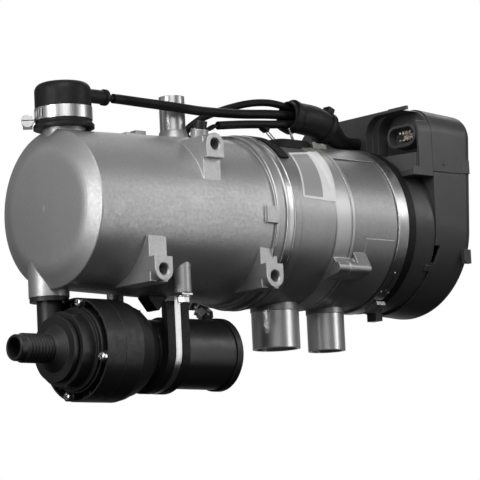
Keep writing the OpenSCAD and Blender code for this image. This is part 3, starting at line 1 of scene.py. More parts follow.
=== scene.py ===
# A diesel coolant heater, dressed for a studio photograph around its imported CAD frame.
import math

import bmesh
import bpy
from mathutils import Matrix, Vector, noise as field


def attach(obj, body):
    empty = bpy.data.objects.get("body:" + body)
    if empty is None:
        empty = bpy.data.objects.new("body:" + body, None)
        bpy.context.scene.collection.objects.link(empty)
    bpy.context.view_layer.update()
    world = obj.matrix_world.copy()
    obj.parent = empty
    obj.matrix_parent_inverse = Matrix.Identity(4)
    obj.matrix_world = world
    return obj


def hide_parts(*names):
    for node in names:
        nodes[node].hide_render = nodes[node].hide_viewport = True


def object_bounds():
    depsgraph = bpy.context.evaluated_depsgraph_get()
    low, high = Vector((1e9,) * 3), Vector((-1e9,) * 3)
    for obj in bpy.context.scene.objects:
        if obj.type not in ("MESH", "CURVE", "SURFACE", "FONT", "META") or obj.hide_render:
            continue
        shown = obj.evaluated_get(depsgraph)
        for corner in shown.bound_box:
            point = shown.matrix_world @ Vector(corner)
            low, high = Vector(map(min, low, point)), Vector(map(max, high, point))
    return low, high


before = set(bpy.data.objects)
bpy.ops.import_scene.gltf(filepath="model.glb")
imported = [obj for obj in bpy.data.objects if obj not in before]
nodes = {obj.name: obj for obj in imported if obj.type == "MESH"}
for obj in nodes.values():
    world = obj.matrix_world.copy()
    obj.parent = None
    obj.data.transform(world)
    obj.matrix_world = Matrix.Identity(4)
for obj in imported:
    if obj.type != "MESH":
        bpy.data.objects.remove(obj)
cad_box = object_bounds()
MM = 0.001
BODY = "heater"
# Where the joint face between jacket and burner housing meets the heater's axis, in mm
JOINT = Vector((68.9, 61.1, -46.0))


def place(x, y, z):
    """A point in the frame's metres, given in mm from the joint face and the heater's axis."""
    return (Vector((x, y, z)) + JOINT) * MM


# Camera, light and room

# The photograph's viewpoint: sensor and focal length in mm, place in metres, and the picture's own directions
SENSOR_WIDTH, FOCAL_LENGTH = 36, 211.15
CAMERA_PLACE = (-1.3434, -1.5179, -0.3508)
PICTURE_RIGHT = (0.74737, -0.66270, -0.04769)
PICTURE_UP = (-0.05528, -0.13355, 0.98950)
TOWARDS_CAMERA = (-0.66211, -0.73689, -0.13646)
FARTHEST_SEEN = 20


def studio_camera():
    camera = bpy.data.objects.new("studio_camera", bpy.data.cameras.new("studio_camera"))
    bpy.context.collection.objects.link(camera)
    camera.data.sensor_width = SENSOR_WIDTH
    camera.data.lens = FOCAL_LENGTH
    camera.data.clip_end = FARTHEST_SEEN
    turn = Matrix((PICTURE_RIGHT, PICTURE_UP, TOWARDS_CAMERA)).transposed()
    camera.matrix_world = Matrix.Translation(CAMERA_PLACE) @ turn.to_4x4()
    bpy.context.scene.camera = camera
    return camera


camera = studio_camera()
target = (Vector(cad_box[0]) + Vector(cad_box[1])) / 2
view_side = camera.matrix_world.to_3x3()


def lamp(name, across, high, towards, width, height, watts):
    """A softbox that faces the object's middle from so far to the right, up and towards the camera."""
    light = bpy.data.lights.new(name, "AREA")
    light.shape = "RECTANGLE"
    light.size, light.size_y = width, height
    light.energy = watts
    box = bpy.data.objects.new(name, light)
    bpy.context.collection.objects.link(box)
    box.location = target + view_side @ Vector((across, high, towards))
    box.rotation_euler = (box.location - target).to_track_quat("Z", "Y").to_euler()


# Distances to the right, up and towards the camera, width and height in metres, and watts
SOFTBOXES = {
    "key_softbox": (0.0, 1.35, 0.85, 0.8, 0.6, 8),
    "fill_softbox": (0.1, 0.85, 1.25, 0.9, 0.6, 6),
    "front_softbox": (-1.0, 0.25, 1.0, 0.4, 0.7, 8.5),
    "side_softbox": (1.3, 0.62, 0.05, 0.4, 0.5, 2.6),
    "low_softbox": (1.15, -0.08, 0.45, 0.4, 0.95, 3.6),
    "left_softbox": (-1.3, 0.42, -0.12, 0.3, 0.3, 0.3),
    "back_softbox": (0.2, 0.8, -1.1, 0.9, 0.5, 2),
}
for name, setting in SOFTBOXES.items():
    lamp(name, *setting)


def shade(tree, kind, **values):
    """A shader node with its settings and its sockets' plain values. A socket's name has _ for each space."""
    node = tree.nodes.new(kind)
    for key, value in values.items():
        label = key.replace("_", " ")
        if label in node.inputs:
            node.inputs[label].default_value = value
        else:
            setattr(node, key, value)
    return node


def grey(tone, tint=(1, 1, 1)):
    return tuple(tone * part for part in tint) + (1,)


WHITE = grey(1)
# The room's light, which grows from floor to ceiling
ROOM_STRENGTH = 0.3
ROOM_HEIGHTS = (0.25, 0.95)
ROOM_TONES = (0.05, 0.75)
# How bright the white behind the heater shows in metal, and the cosines about the view between which it fades in
BACKDROP_GLOW = 0.35
BACKDROP_FROM, BACKDROP_FULL = 0.80, 0.97


def set_world():
    world = bpy.data.worlds.new("studio_room")
    bpy.context.scene.world = world
    world.use_nodes = True
    tree = world.node_tree
    tree.nodes.clear()
    link = tree.links.new
    way = shade(tree, "ShaderNodeTexCoord")
    split = shade(tree, "ShaderNodeSeparateXYZ")
    ramp = shade(tree, "ShaderNodeValToRGB")
    for stop, height, tone in zip(ramp.color_ramp.elements, ROOM_HEIGHTS, ROOM_TONES):
        stop.position = height
        stop.color = grey(tone)
    lift = shade(tree, "ShaderNodeMapRange", From_Min=-1.0, From_Max=1.0)
    behind = shade(tree, "ShaderNodeVectorMath", operation="DOT_PRODUCT")
    behind.inputs[1].default_value = -view_side.col[2]
    fade = shade(tree, "ShaderNodeMapRange", From_Min=BACKDROP_FROM, From_Max=BACKDROP_FULL, To_Max=BACKDROP_GLOW)
    backdrop = shade(tree, "ShaderNodeEmission", Color=WHITE)
    mirrored = shade(tree, "ShaderNodeMath", operation="MULTIPLY")
    shiny = shade(tree, "ShaderNodeMath", operation="MAXIMUM")
    dressed = shade(tree, "ShaderNodeAddShader")
    room = shade(tree, "ShaderNodeBackground", Strength=ROOM_STRENGTH)
    white = shade(tree, "ShaderNodeBackground", Color=WHITE)
    rays = shade(tree, "ShaderNodeLightPath")
    mix = shade(tree, "ShaderNodeMixShader")
    link(way.outputs["Generated"], split.inputs[0])
    link(split.outputs["Z"], lift.inputs["Value"])
    link(lift.outputs["Result"], ramp.inputs["Fac"])
    link(ramp.outputs["Color"], room.inputs["Color"])
    link(way.outputs["Generated"], behind.inputs[0])
    link(behind.outputs["Value"], fade.inputs["Value"])
    link(rays.outputs["Is Glossy Ray"], shiny.inputs[0])
    link(rays.outputs["Is Transmission Ray"], shiny.inputs[1])
    link(fade.outputs["Result"], mirrored.inputs[0])
    link(shiny.outputs[0], mirrored.inputs[1])
    link(mirrored.outputs[0], backdrop.inputs["Strength"])
    link(room.outputs[0], dressed.inputs[0])
    link(backdrop.outputs[0], dressed.inputs[1])
    link(rays.outputs["Is Camera Ray"], mix.inputs["Fac"])
    link(dressed.outputs[0], mix.inputs[1])
    link(white.outputs[0], mix.inputs[2])
    link(mix.outputs[0], shade(tree, "ShaderNodeOutputWorld").inputs["Surface"])


set_world()


PAPER_TONE = 0.8
# What the paper adds of its own to the camera's view, and the tone by which it lights the heater
PAPER_GLOW = 0.5
PAPER_BOUNCE = 0.10
FLOOR_SIZE = 6
FLOOR_GAP = 0.001


def studio_paper():
    """Matt white paper that shows its lit side alone and reads as white wherever no shadow lies on it."""
    paper = bpy.data.materials.new("floor_paper")
    paper.use_nodes = True
    tree = paper.node_tree
    tree.nodes.clear()
    link = tree.links.new
    sheet = shade(tree, "ShaderNodeBsdfDiffuse", Color=grey(PAPER_TONE))
    bounce = shade(tree, "ShaderNodeBsdfDiffuse", Color=grey(PAPER_BOUNCE))
    light = shade(tree, "ShaderNodeEmission", Color=WHITE, Strength=PAPER_GLOW)
    both = shade(tree, "ShaderNodeAddShader")
    clear = shade(tree, "ShaderNodeBsdfTransparent")
    rays = shade(tree, "ShaderNodeLightPath")
    face = shade(tree, "ShaderNodeNewGeometry")
    seen = shade(tree, "ShaderNodeMixShader")
    hidden = shade(tree, "ShaderNodeMath", operation="MAXIMUM")
    one_sided = shade(tree, "ShaderNodeMixShader")
    link(sheet.outputs[0], both.inputs[0])
    link(light.outputs[0], both.inputs[1])
    link(rays.outputs["Is Camera Ray"], seen.inputs["Fac"])
    link(bounce.outputs[0], seen.inputs[1])
    link(both.outputs[0], seen.inputs[2])
    link(face.outputs["Backfacing"], hidden.inputs[0])
    link(rays.outputs["Is Glossy Ray"], hidden.inputs[1])
    link(hidden.outputs[0], one_sided.inputs["Fac"])
    link(seen.outputs[0], one_sided.inputs[1])
    link(clear.outputs[0], one_sided.inputs[2])
    link(one_sided.outputs[0], shade(tree, "ShaderNodeOutputMaterial").inputs["Surface"])
    return paper


def add_floor():
    bpy.ops.object.select_all(action="DESELECT")
    bpy.ops.mesh.primitive_plane_add(size=FLOOR_SIZE, location=(target.x, target.y, cad_box[0][2] - FLOOR_GAP))
    floor = bpy.context.object
    floor.name = "studio_floor"
    floor.data.materials.append(studio_paper())


add_floor()


# Shared surface patterns

def shared_group(name, takes, gives):
    """A node group with named inputs and outputs, each given with its kind: Vector, Color or Float."""
    group = bpy.data.node_groups.new(name, "ShaderNodeTree")
    for side, sockets in (("INPUT", takes), ("OUTPUT", gives)):
        for label, kind in sockets:
            group.interface.new_socket(label, in_out=side, socket_type="NodeSocket" + kind)
    return group, group.nodes.new("NodeGroupInput"), group.nodes.new("NodeGroupOutput")


def noise(tree, scale, detail=4.0, roughness=0.55):
    return shade(tree, "ShaderNodeTexNoise", Scale=scale, Detail=detail, Roughness=roughness)


def live_output(node, kind):
    """The output in use of a node that has one for each kind of data."""
    return next(socket for socket in node.outputs if socket.type == kind and socket.enabled)


def blend_colour(tree, fac, first, second):
    mix = shade(tree, "ShaderNodeMix", data_type="RGBA")
    tree.links.new(fac, mix.inputs["Factor"])
    tree.links.new(first, mix.inputs["A"])
    tree.links.new(second, mix.inputs["B"])
    return live_output(mix, "RGBA")


def blend_value(tree, fac, low, high):
    spread = shade(tree, "ShaderNodeMapRange", From_Min=0.3, From_Max=0.7)
    tree.links.new(fac, spread.inputs["Value"])
    tree.links.new(low, spread.inputs["To Min"])
    tree.links.new(high, spread.inputs["To Max"])
    return spread.outputs["Result"]


def product(tree, first, second):
    both = shade(tree, "ShaderNodeMath", operation="MULTIPLY")
    tree.links.new(first, both.inputs[0])
    tree.links.new(second, both.inputs[1])
    return both.outputs[0]


def skin_group(name, stretch, grain, mottle, drift, pits):
    """Fine grain, mid-sized mottle and a slow drift of tone. pits adds the hollows of a cast or moulded skin."""
    tree, source, sink = shared_group(name,
                                      (("Place", "Vector"), ("Low Colour", "Color"), ("High Colour", "Color"),
                                       ("Low Roughness", "Float"), ("High Roughness", "Float")),
                                      (("Colour", "Color"), ("Roughness", "Float"), ("Height", "Float")))
    link = tree.links.new
    turned = shade(tree, "ShaderNodeMapping", Scale=stretch)
    link(source.outputs["Place"], turned.inputs["Vector"])
    fine, middle, slow = noise(tree, grain, 3.0), noise(tree, mottle, 5.0, 0.65), noise(tree, drift, 2.0)
    for texture in (fine, middle):
        link(turned.outputs[0], texture.inputs["Vector"])
    link(source.outputs["Place"], slow.inputs["Vector"])
    half = shade(tree, "ShaderNodeMath", operation="MULTIPLY_ADD")
    half.inputs[1].default_value = 0.5
    link(middle.outputs["Fac"], half.inputs[0])
    scaled = shade(tree, "ShaderNodeMath", operation="MULTIPLY")
    scaled.inputs[1].default_value = 0.5
    link(slow.outputs["Fac"], scaled.inputs[0])
    link(scaled.outputs[0], half.inputs[2])
    spread = shade(tree, "ShaderNodeMapRange", From_Min=0.35, From_Max=0.65)
    link(half.outputs[0], spread.inputs["Value"])
    link(blend_colour(tree, spread.outputs[0], source.outputs["Low Colour"], source.outputs["High Colour"]),
         sink.inputs["Colour"])
    link(blend_value(tree, middle.outputs["Fac"], source.outputs["High Roughness"], source.outputs["Low Roughness"]),
         sink.inputs["Roughness"])
    height = fine.outputs["Fac"]
    if pits:
        cells = shade(tree, "ShaderNodeTexVoronoi", Scale=grain * 0.8)
        link(turned.outputs[0], cells.inputs["Vector"])
        joined = shade(tree, "ShaderNodeMath", operation="MULTIPLY_ADD")
        joined.inputs[1].default_value = pits
        link(cells.outputs["Distance"], joined.inputs[0])
        link(height, joined.inputs[2])
        height = joined.outputs[0]
    link(height, sink.inputs["Height"])
    return tree


CAST = skin_group("cast_skin", (1, 1, 1), 1500, 420, 18, 0.5)
BRUSHED_RING = skin_group("brushed_ring", (1, 0.012, 0.012), 3600, 1300, 30, 0)
MOULDED = skin_group("moulded_skin", (1, 1, 1), 2300, 160, 14, 0.8)
SOFT = skin_group("rubber_skin", (1, 1, 1), 2900, 230, 25, 0.3)


# The cosines between face and broken edge at which the edge lightening starts and is full; that lightening is partly
# edge wear and partly a painted highlight
HIGHLIGHT_AND_WEAR_FROM, HIGHLIGHT_AND_WEAR_FULL = 0.985, 0.80


def edge_highlight_and_wear_group():
    """Lightens a colour towards a paler one where a broken edge's normal leaves the face's own: partly edge wear,
    partly a painted highlight along the edge.
    """
    tree, source, sink = shared_group("edge_highlight_and_wear",
                                      (("Colour", "Color"), ("Lit And Bare Colour", "Color"), ("Face Normal", "Vector"),
                                       ("Broken Normal", "Vector"), ("Wear", "Float")), (("Colour", "Color"),))
    link = tree.links.new
    bend = shade(tree, "ShaderNodeVectorMath", operation="DOT_PRODUCT")
    edge_lightening = shade(tree, "ShaderNodeMapRange", From_Min=HIGHLIGHT_AND_WEAR_FROM, From_Max=HIGHLIGHT_AND_WEAR_FULL)
    link(source.outputs["Broken Normal"], bend.inputs[0])
    link(source.outputs["Face Normal"], bend.inputs[1])
    link(bend.outputs["Value"], edge_lightening.inputs["Value"])
    link(source.outputs["Wear"], edge_lightening.inputs["To Max"])
    link(blend_colour(tree, edge_lightening.outputs[0], source.outputs["Colour"], source.outputs["Lit And Bare Colour"]),
         sink.inputs["Colour"])
    return tree


# The limits of a turned zone, each with the value that leaves that side open
OPEN_LIMITS = {"X From": -1000, "X To": 1000, "Z From": -1000, "Z To": 1000, "R From": -1000, "R To": 1000}


def turned_zone_group():
    """A mask inside limits on x, z and the radius r, in mm from the joint face and the heater's axis."""
    takes = [("Place", "Vector")] + [(label, "Float") for label in OPEN_LIMITS]
    tree, source, sink = shared_group("turned_zone", takes, (("Mask", "Float"),))
    link = tree.links.new
    centred = shade(tree, "ShaderNodeVectorMath", operation="SUBTRACT")
    centred.inputs[1].default_value = JOINT * MM
    in_mm = shade(tree, "ShaderNodeVectorMath", operation="SCALE", Scale=1 / MM)
    split = shade(tree, "ShaderNodeSeparateXYZ")
    across = shade(tree, "ShaderNodeVectorMath", operation="MULTIPLY")
    across.inputs[1].default_value = (0, 1, 1)
    radius = shade(tree, "ShaderNodeVectorMath", operation="LENGTH")
    link(source.outputs["Place"], centred.inputs[0])
    link(centred.outputs[0], in_mm.inputs[0])
    link(in_mm.outputs[0], split.inputs[0])
    link(in_mm.outputs[0], across.inputs[0])
    link(across.outputs[0], radius.inputs[0])
    measures = {"X": split.outputs["X"], "Z": split.outputs["Z"], "R": radius.outputs["Value"]}
    inside = None
    for label in OPEN_LIMITS:
        axis, side = label.split()
        test = shade(tree, "ShaderNodeMath", operation="GREATER_THAN" if side == "From" else "LESS_THAN")
        link(measures[axis], test.inputs[0])
        link(source.outputs[label], test.inputs[1])
        inside = test.outputs[0] if inside is None else product(tree, inside, test.outputs[0])
    link(inside, sink.inputs["Mask"])
    return tree


EDGE_HIGHLIGHT_AND_WEAR = edge_highlight_and_wear_group()
TURNED_ZONE = turned_zone_group()


def place_skin(tree, skin, low, high, rough, tint=(1, 1, 1)):
    """A skin's group in a material, with its two tones and its two values of roughness."""
    pattern = shade(tree, "ShaderNodeGroup", node_tree=skin)
    pattern.inputs["Low Colour"].default_value = grey(low, tint)
    pattern.inputs["High Colour"].default_value = grey(high, tint)
    pattern.inputs["Low Roughness"].default_value, pattern.inputs["High Roughness"].default_value = rough
    return pattern


def finish(name, skin, low, high, rough, bump, metal=0.0, tint=(1, 1, 1), edge=0.5, wear=0.3, lit_and_worn_tone=0.5, **extra):
    """A material whose tone runs between two greys, low and high, and whose roughness runs between two values.
    edge is the radius in mm that its sharp edges are broken to; the next two settings say how far those edges are
    lightened, and to which grey, as edge wear and as a painted highlight along them."""
    material = bpy.data.materials.new(name)
    material.use_nodes = True
    tree = material.node_tree
    tree.nodes.clear()
    link = tree.links.new
    body = shade(tree, "ShaderNodeBsdfPrincipled", Metallic=metal, **extra)
    where = shade(tree, "ShaderNodeTexCoord")
    pattern = place_skin(tree, skin, low, high, rough, tint)
    relief = shade(tree, "ShaderNodeBump", Strength=1.0, Distance=bump * MM)
    broken = shade(tree, "ShaderNodeBevel", samples=6, Radius=edge * MM)
    face = shade(tree, "ShaderNodeNewGeometry")
    # Broken edges are lightened here: partly real wear, partly a painted highlight
    lit_and_worn_edges = shade(tree, "ShaderNodeGroup", node_tree=EDGE_HIGHLIGHT_AND_WEAR)
    lit_and_worn_edges.inputs["Lit And Bare Colour"].default_value = grey(lit_and_worn_tone, tint)
    lit_and_worn_edges.inputs["Wear"].default_value = wear
    link(where.outputs["Object"], pattern.inputs["Place"])
    link(pattern.outputs["Colour"], lit_and_worn_edges.inputs["Colour"])
    link(broken.outputs[0], lit_and_worn_edges.inputs["Broken Normal"])
    link(face.outputs["Normal"], lit_and_worn_edges.inputs["Face Normal"])
    link(lit_and_worn_edges.outputs["Colour"], body.inputs["Base Color"])
    link(pattern.outputs["Roughness"], body.inputs["Roughness"])
    link(pattern.outputs["Height"], relief.inputs["Height"])
    link(broken.outputs[0], relief.inputs["Normal"])
    link(relief.outputs[0], body.inputs["Normal"])
    link(body.outputs[0], shade(tree, "ShaderNodeOutputMaterial").inputs["Surface"])
    return material


def turn_zone(material, tone, rough, **limits):
    """Turned metal, smoother and of another tone, inside the limits given on a casting."""
    tree = material.node_tree
    link = tree.links.new
    body = next(node for node in tree.nodes if node.type == "BSDF_PRINCIPLED")
    where = shade(tree, "ShaderNodeTexCoord")
    zone = shade(tree, "ShaderNodeGroup", node_tree=TURNED_ZONE)
    for label, still_open in OPEN_LIMITS.items():
        zone.inputs[label].default_value = limits.get(label.replace(" ", "_"), still_open)
    link(where.outputs["Object"], zone.inputs["Place"])
    changes = (("Base Color", "RGBA", "RGBA", grey(tone)), ("Roughness", "VALUE", "FLOAT", rough))
    for socket, kind, data, value in changes:
        mix = shade(tree, "ShaderNodeMix", data_type=data)
        mix.inputs["B"].default_value = value
        link(zone.outputs["Mask"], mix.inputs["Factor"])
        link(body.inputs[socket].links[0].from_socket, mix.inputs["A"])
        link(live_output(mix, kind), body.inputs[socket])


WARM = (1, 0.97, 0.92)
STRAW = (1.0, 0.93, 0.80)
BOARD = (0.25, 1.0, 0.45)
# The edge settings of each finish lighten its broken edges, partly as wear and partly as a painted highlight
slot_finish = {
    "jacket_casting": finish("cast_aluminium", CAST, 0.41, 0.49, (0.40, 0.52), 0.05, 0.8,
                             edge=0.9, wear=0.8, lit_and_worn_tone=0.86),
    "housing_casting": finish("cast_aluminium_dark", CAST, 0.32, 0.39, (0.38, 0.46), 0.045, 0.8,
                              edge=0.7, wear=0.8, lit_and_worn_tone=0.8),
    "pump_casting": finish("black_painted_case", MOULDED, 0.008, 0.016, (0.30, 0.42), 0.02, lit_and_worn_tone=0.25),
    "inner_casting": finish("inner_aluminium", CAST, 0.42, 0.55, (0.4, 0.55), 0.05, 1.0),
    "clamp_steel": finish("bright_band_steel", BRUSHED_RING, 0.42, 0.72, (0.24, 0.40), 0.010, 1.0, wear=0.5, lit_and_worn_tone=0.85),
    "heat_steel": finish("heat_stained_steel", CAST, 0.22, 0.36, (0.45, 0.65), 0.03, 1.0, WARM),
    "shaft_steel": finish("ground_steel", BRUSHED_RING, 0.50, 0.62, (0.18, 0.3), 0.004, 1.0),
    "fastener_steel": finish("plated_steel", CAST, 0.45, 0.62, (0.24, 0.38), 0.01, 1.0, wear=0.5, lit_and_worn_tone=0.8),
    "cover_plastic": finish("black_cover_plastic", MOULDED, 0.042, 0.058, (0.28, 0.40), 0.02, edge=0.7, lit_and_worn_tone=0.22),
    "pump_plastic": finish("black_pump_plastic", MOULDED, 0.007, 0.014, (0.38, 0.52), 0.03, lit_and_worn_tone=0.2),
    "fan_plastic": finish("grey_fan_plastic", MOULDED, 0.05, 0.08, (0.4, 0.5), 0.02, lit_and_worn_tone=0.3),
    "cable_plastic": finish("black_cable_sleeve", MOULDED, 0.004, 0.009, (0.40, 0.54), 0.02, lit_and_worn_tone=0.05,
                            Specular_IOR_Level=0.18),
    "board_laminate": finish("green_board_laminate", CAST, 0.16, 0.22, (0.3, 0.4), 0.01, 0.0, BOARD),
    "black_rubber": finish("black_rubber", SOFT, 0.006, 0.012, (0.42, 0.56), 0.03, lit_and_worn_tone=0.05, Specular_IOR_Level=0.25),
    "seal_rubber": finish("seal_rubber", SOFT, 0.010, 0.018, (0.5, 0.6), 0.02, lit_and_worn_tone=0.06),
    "contact_brass": finish("nickel_plated_contacts", CAST, 0.62, 0.80, (0.22, 0.32), 0.006, 1.0, STRAW),
    "motor_metal": finish("painted_motor_case", MOULDED, 0.035, 0.06, (0.30, 0.40), 0.02, lit_and_worn_tone=0.3),
}
# The rib band, the exhaust and air stubs, and the outlet pipe
turn_zone(slot_finish["housing_casting"], 0.54, 0.42, X_From=48, X_To=68, R_From=64.3, R_To=64.9)
turn_zone(slot_finish["housing_casting"], 0.62, 0.31, Z_To=-66.5)
turn_zone(slot_finish["jacket_casting"], 0.52, 0.30, Z_From=66.5, X_From=-70)
for node in nodes.values():
    for part in node.material_slots:
        part.material = slot_finish[part.material.name.split(".")[0]]
# Two pieces that the photograph shows darker than their slots
for name, slot in (("cable_strap", "cable_plastic"), ("overheat_sensor", "pump_plastic")):
    for part in nodes[name].material_slots:
        part.material = slot_finish[slot]


# New pieces round the solids

# The burner housing's radius, and where its rib band starts and how far it stands out, in mm
HOUSING_R = 63.5
RIB_FROM = 47.5
RIB_RISE = 1.1
# The run over which a thin piece climbs onto the rib band
CLIMB_BEFORE, CLIMB_LENGTH = 0.4, 1.5


def housing_radius(x, clear):
    """How far from the axis a piece lies that follows the burner housing's skin at a clearance."""
    climbed = (x - RIB_FROM + CLIMB_BEFORE) / CLIMB_LENGTH
    return HOUSING_R + clear + RIB_RISE * min(1, max(0, climbed))


def start_clean():
    """Object mode with nothing selected."""
    if bpy.context.object and bpy.context.object.mode != "OBJECT":
        bpy.ops.object.mode_set(mode="OBJECT")
    bpy.ops.object.select_all(action="DESELECT")


def pick(piece):
    start_clean()
    piece.select_set(True)
    bpy.context.view_layer.objects.active = piece


def dress(piece, name, slot, *stands_for, smooth=35):
    """Applies a finished piece's modifiers and place, gives it its finish and hangs it on the heater."""
    pick(piece)
    piece.name = piece.data.name = name
    for modifier in list(piece.modifiers):
        bpy.ops.object.modifier_apply(modifier=modifier.name)
    bpy.ops.object.transform_apply(location=True, rotation=True, scale=True)
    bpy.ops.object.shade_smooth_by_angle(angle=math.radians(smooth))
    piece.data.materials.clear()
    piece.data.materials.append(slot_finish[slot])
    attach(piece, BODY)
    if stands_for:
        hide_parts(*stands_for)
    return piece


def merged(first, *others):
    """Several built shapes made one piece."""
    pick(first)
    for other in others:
        other.select_set(True)
    bpy.ops.object.join()
    return first


def add_modifier(piece, kind, **values):
    modifier = piece.modifiers.new(kind.lower(), kind)
    for key, value in values.items():
        setattr(modifier, key, value)
    return modifier


def soft_edges(piece, width, segments=2):
    return add_modifier(piece, "BEVEL", width=width * MM, segments=segments, limit_method="ANGLE",
                        angle_limit=math.radians(40))


def in_fixed_order(piece):
    """Sorts a mesh's parts by their places, because a bevel or a fill leaves them in a new order each run."""
    mesh = bmesh.new()
    mesh.from_mesh(piece.data)
    for parts in (mesh.verts, mesh.edges, mesh.faces):
        placed = sorted(parts, key=lambda part: sorted(tuple(point.co) for point in getattr(part, "verts", [part])))
        for rank, part in enumerate(placed):
            part.index = rank
        parts.sort()
    mesh.to_mesh(piece.data)
    mesh.free()


def relisted(piece):
    """Lists a cut mesh anew by its places, with each face's first corner fixed too, because a cut mixes them all."""
    mesh = piece.data
    spots = [tuple(point.co) for point in mesh.vertices]
    order = sorted(range(len(spots)), key=lambda k: spots[k])
    rank = {k: new for new, k in enumerate(order)}
    faces = []
    for face in mesh.polygons:
        corners = [rank[k] for k in face.vertices]
        first = corners.index(min(corners))
        faces.append(corners[first:] + corners[:first])
    mesh.clear_geometry()
    mesh.from_pydata([spots[k] for k in order], [], sorted(faces))


def without_slivers(piece):
    """Merges doubled points and drops the faces of no width that a bevel or a cut leaves."""
    in_fixed_order(piece)
    pick(piece)
    bpy.ops.object.mode_set(mode="EDIT")
    bpy.ops.mesh.select_all(action="SELECT")
    bpy.ops.mesh.remove_doubles(threshold=0.01 * MM)
    bpy.ops.mesh.dissolve_degenerate(threshold=0.01 * MM)
    bpy.ops.object.mode_set(mode="OBJECT")
    return piece


# Leads and the sleeve that gathers them

def smooth_route(points, steps):
    """A smooth line through points that hold x, y, z and a radius in mm."""
    line, last = [], len(points) - 1
    for i in range(last):
        a, b, c, d = (Vector(points[k]) for k in (max(0, i - 1), i, i + 1, min(last, i + 2)))
        for f in (k / steps for k in range(steps)):
            line.append(b + (c - a) * f / 2 + (2 * a - 5 * b + 4 * c - d) * f * f / 2
                        + (3 * b - a - 3 * c + d) * f ** 3 / 2)
    return line + [Vector(points[last])]


def sweep(name, points, steps=8, rings=8):
    """A closed round tube along a route."""
    line = smooth_route(points, steps)
    data = bpy.data.curves.new(name, "CURVE")
    data.dimensions = "3D"
    data.bevel_depth = MM
    data.bevel_resolution = rings
    spline = data.splines.new("POLY")
    spline.points.add(len(line) - 1)
    for point, spot in zip(spline.points, line):
        point.co = (*place(*spot[:3]), 1)
        point.radius = spot[3]
    piece = bpy.data.objects.new(name, data)
    bpy.context.collection.objects.link(piece)
    pick(piece)
    bpy.ops.object.convert(target="MESH")
    piece = bpy.context.object
    bpy.ops.object.mode_set(mode="EDIT")
    bpy.ops.mesh.select_all(action="SELECT")
    bpy.ops.mesh.remove_doubles(threshold=0.001 * MM)
    bpy.ops.mesh.fill_holes(sides=0)
    bpy.ops.mesh.select_all(action="SELECT")
    bpy.ops.mesh.normals_make_consistent(inside=False)
    bpy.ops.object.mode_set(mode="OBJECT")
    return piece


def open_mouth(piece, at, rim, depth):
    """Sinks the cap of a tube nearest to a point, so that the end shows its wall."""
    pick(piece)
    bpy.ops.object.mode_set(mode="EDIT")
    bpy.ops.mesh.select_mode(type="FACE")
    bpy.ops.mesh.select_all(action="DESELECT")
    mesh = bmesh.from_edit_mesh(piece.data)
    caps = [face for face in mesh.faces if len(face.verts) > 8]
    min(caps, key=lambda face: (face.calc_center_median() - place(*at)).length).select = True
    bmesh.update_edit_mesh(piece.data)
    bpy.ops.mesh.inset(thickness=rim * MM, depth=0)
    bpy.ops.mesh.inset(thickness=0.03 * MM, depth=-depth * MM)
    bpy.ops.object.mode_set(mode="OBJECT")
    return piece


def with_radius(route, r):
    return [(*point, r) for point in route]


def lay_leads():
    """The three leads, each in its own sleeve, along routes in mm that end inside the gathered sleeve."""
    sensor = [(-112.9, 0, 86.4), (-103, 0, 86.3), (-91, -3.8, 85), (-76, -11, 82.8), (-59.5, -17.4, 80.6),
              (-42, -18, 80), (-18, -16.5, 80.8), (4, -16, 82), (24, -18, 83.3), (43.7, -19, 84), (56, -19.2, 83.6)]
    cable = [(-128.9, 0, 86.4), (-120, 0, 86.4), (-110, 0, 86.3)]
    overheat = [(-28, -19.5, 70), (-14, -20, 71.6), (4, -20.5, 73.4), (24, -20.5, 75), (43.7, -20.5, 76.6),
                (56, -20.4, 77)]
    wires = [[(-38.2, -17.2, 66.2), (-35, -18.4, 68.4), (-31.5, -19.4, 69.9), (-26, -19.2, 70.4)],
             [(-38, -20.4, 65.6), (-34.6, -20.6, 66.9), (-31.2, -20.4, 68.7), (-26, -20, 69.6)]]
    arched = [(-38.5, 5.5, 65.4), (-38.3, 5.5, 68.4), (-33.6, 4.2, 73.2), (-24, 1, 79.8), (-12, -3, 84.9),
              (-1, -7, 88.6), (10, -10, 91.4), (21, -12.5, 93), (32, -15, 93.1), (43.7, -17.3, 91.2),
              (56, -18.6, 88.9)]
    lead = open_mouth(sweep("sensor_sleeve", with_radius(sensor, 3.6)), sensor[0], 0.8, 3)
    core = sweep("sensor_cable", with_radius(cable, 2.4))
    dress(merged(lead, core), "sensor_cable_sleeve", "cable_plastic", "sensor_lead")
    lead = open_mouth(sweep("overheat_sleeve", with_radius(overheat, 3.2)), overheat[0], 0.7, 3)
    cores = [sweep("overheat_core", with_radius(wire, 0.95), rings=4) for wire in wires]
    dress(merged(lead, *cores), "overheat_cable_sleeve", "cable_plastic", "overheat_lead")
    lead = sweep("temperature_sleeve", with_radius(arched, 2.8))
    dress(lead, "temperature_cable", "cable_plastic", "temperature_lead")


lay_leads()

# Where the gathered sleeve starts and ends, and its share of that run, y, z and radius at each point
SLEEVE_FROM, SLEEVE_TO = 44, 132.7
SLEEVE = [(0, -19, 83.2, 11.7), (0.0902, -19.3, 83, 11.9), (0.1917, -19.5, 82.3, 12.1), (0.3044, -19.5, 81.2, 12.1),
          (0.4284, -18.5, 78.2, 11.6), (0.5524, -15.5, 74.2, 9.6), (0.6877, -10.5, 71.2, 7.2),
          (0.8568, -3.6, 70.6, 5.2), (1, -3.6, 70.6, 4.8)]


